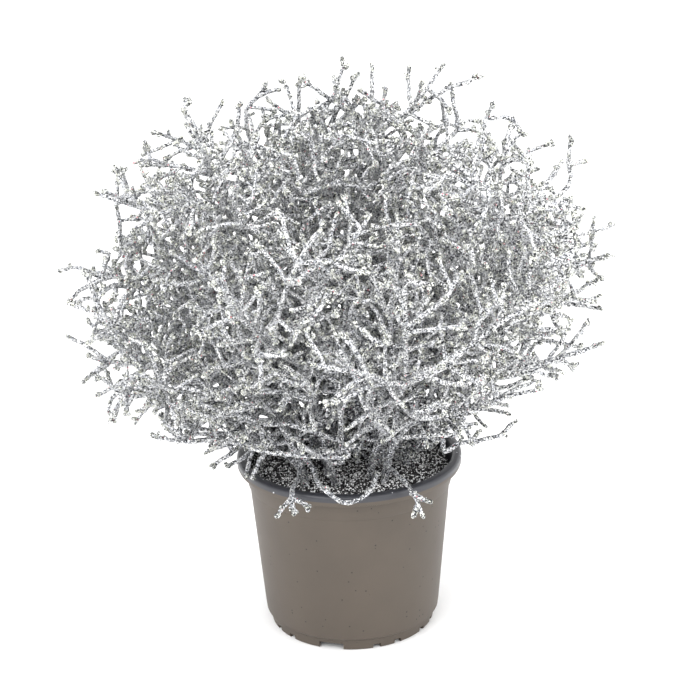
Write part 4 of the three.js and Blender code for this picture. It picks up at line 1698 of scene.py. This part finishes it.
@dataclass
class Shoots:
    """The leafy stems: every strand as a tube, one piece for each shoot."""

    wood_roundness: int = 1
    tip_roundness: int = 0
    lumps: tuple[tuple[float, float], ...] = ((0.0022, 0.0006), (0.00088, 0.00036))  # size and depth
    wood: GlitterFinish = GlitterFinish("silvered_twig")
    tips: GlitterFinish = GlitterFinish("silvered_tip", tint=(0.94, 0.96, 0.7), tint_share=0.34)

    def tubes(self, name: str, strands: list[Strand], resolution: int) -> bpy.types.Object:
        """Draws strands as round tubes.

        Args:
            name: the piece's name.
            strands: the lines and their half thicknesses.
            resolution: the curve's bevel resolution, which says how round they are.
        Returns:
            The mesh piece.
        """
        curve = bpy.data.curves.new(name, "CURVE")
        curve.dimensions = "3D"
        curve.bevel_depth = MM
        curve.bevel_resolution = resolution
        curve.use_fill_caps = True
        for strand in strands:
            spline = curve.splines.new("POLY")
            spline.points.add(len(strand.points) - 1)
            places = np.ones((len(strand.points), 4))
            places[:, :3] = strand.points * MM
            spline.points.foreach_set("co", places.ravel())
            spline.points.foreach_set("radius", strand.radii)
        piece = bpy.data.objects.new(name, curve)
        bpy.context.scene.collection.objects.link(piece)
        Bench.pick(piece)
        bpy.ops.object.convert(target="MESH")
        return bpy.context.object

    def build(self, thicket: Thicket) -> None:
        """Builds, dresses and reports all shoots.

        Args:
            thicket: the strands.
        """
        kinds = (
            (False, self.wood.make(), self.wood_roundness),
            (True, self.tips.make(), self.tip_roundness),
        )
        for shoot in range(SHOOT_COUNT + 2):
            mine = [strand for strand in thicket.strands if strand.shoot == shoot]
            node = f"shoot_{shoot + 1:02d}"
            parts = []
            for is_tip, finish, roundness in kinds:
                part = self.tubes(node, [s for s in mine if s.tip == is_tip], roundness)
                part.data.materials.append(finish)
                parts.append(part)
            piece = Bench.join(parts, node + "_twigs")
            for size, depth in self.lumps:
                Bench.roughen(piece, size, depth)
            piece.data.shade_flat()
            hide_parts(node)
            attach(piece, "root")
            LOG.info("%s: %d strands, %d faces", piece.name, len(mine), len(piece.data.polygons))


@dataclass
class Studio:
    """A plain white floor and backdrop, soft light, and the camera."""

    distance: float = 0.9
    elevation: float = 20.3
    roll: float = -1.3
    aim: Point = (0.0015, 0.0, 0.134)
    lens: float = 101.0
    floor_size: tuple[float, float] = (6, 3)
    bend: float = 0.16
    bend_steps: int = 8
    backdrop: float = 2.5
    lights: tuple[tuple[str, Point, float], ...] = (
        ("key", (-0.8, -1.2, 1.4), 22),
        ("fill", (1.2, -0.9, 0.9), 10),
        ("top", (0.1, 0.3, 1.7), 12),
    )
    light_size: float = 1.4
    light_aim: Point = (0, 0, 0.13)
    world_strength: float = 1.3
    finish: FloorFinish = FloorFinish()

    def floor(self) -> None:
        """Lays the matt white floor, which bends up to a backdrop far behind."""
        Bench.clear()
        bpy.ops.mesh.primitive_plane_add(size=1, location=(0, 0, 0))
        sheet = bpy.context.object
        sheet.name = "studio_floor"
        sheet.scale = (*self.floor_size, 1)
        Bench.settle(sheet)
        mesh = sheet.data
        mesh.polygons[0].select = False
        for vertex in mesh.vertices:
            vertex.select = vertex.co.y > 0
        for edge in mesh.edges:
            edge.select = all(mesh.vertices[v].select for v in edge.vertices)
        bpy.ops.object.mode_set(mode="EDIT")
        for k in range(1, self.bend_steps + 1):
            turn = math.radians(90 * k / self.bend_steps)
            move = (0, self.bend * math.cos(turn), self.bend * math.sin(turn))
            bpy.ops.mesh.extrude_region_move(TRANSFORM_OT_translate={"value": move})
        bpy.ops.mesh.extrude_region_move(TRANSFORM_OT_translate={"value": (0, 0, self.backdrop)})
        bpy.ops.object.mode_set(mode="OBJECT")
        mesh.shade_smooth()
        mesh.materials.append(self.finish.make())

    def light(self, name: str, place: Point, power: float) -> None:
        """Adds one soft square light that looks at the bush.

        Args:
            name: its name.
            place: where it is.
            power: its power in watts.
        """
        data = bpy.data.lights.new(name, "AREA")
        data.size = self.light_size
        data.energy = power
        lamp = bpy.data.objects.new(name, data)
        lamp.location = place
        lamp.rotation_euler = (Vector(self.light_aim) - lamp.location).to_track_quat("-Z", "Y").to_euler()
        bpy.context.scene.collection.objects.link(lamp)

    def build(self) -> None:
        """Builds the studio."""
        self.floor()
        for name, place, power in self.lights:
            self.light(name, place, power)
        world = bpy.data.worlds.new("studio")
        world.use_nodes = True
        background = world.node_tree.nodes["Background"]
        background.inputs["Color"].default_value = (1, 1, 1, 1)
        background.inputs["Strength"].default_value = self.world_strength
        bpy.context.scene.world = world
        bpy.context.scene.view_settings.view_transform = "Standard"
        self.camera()

    def camera(self) -> None:
        """Sets up the camera at the photograph's angle."""
        data = bpy.data.cameras.new("camera")
        data.lens = self.lens
        camera = bpy.data.objects.new("camera", data)
        tilt = math.radians(self.elevation)
        target = Vector(self.aim)
        camera.location = target + self.distance * Vector((0, -math.cos(tilt), math.sin(tilt)))
        turn = (target - camera.location).to_track_quat("-Z", "Y").to_matrix()
        turn = turn @ Matrix.Rotation(math.radians(self.roll), 3, "Z")
        camera.rotation_euler = turn.to_euler()
        bpy.context.scene.collection.objects.link(camera)
        bpy.context.scene.camera = camera


def main() -> None:
    """Builds every piece in order and reports it."""
    logging.basicConfig(level=logging.INFO, format="%(name)s: %(message)s")
    Studio().build()
    for maker in (Pot(), Soil()):
        piece = maker.build()
        LOG.info("%s: %d faces", piece.name, len(piece.data.polygons))
    bush = Bush(SHOOT_SEED)
    bush.grow()
    LOG.info("the bush has %d twigs", len(bush.twigs))
    thicket = Thicket(bush)
    LOG.info("%d side sprigs", thicket.fill(SIDE_SPRIG))
    LOG.info("%d fine sprigs", thicket.fill(FINE_SPRIG))
    LOG.info("%d buds", thicket.bud())
    Shoots().build(thicket)


if __name__ == "__main__":
    main()
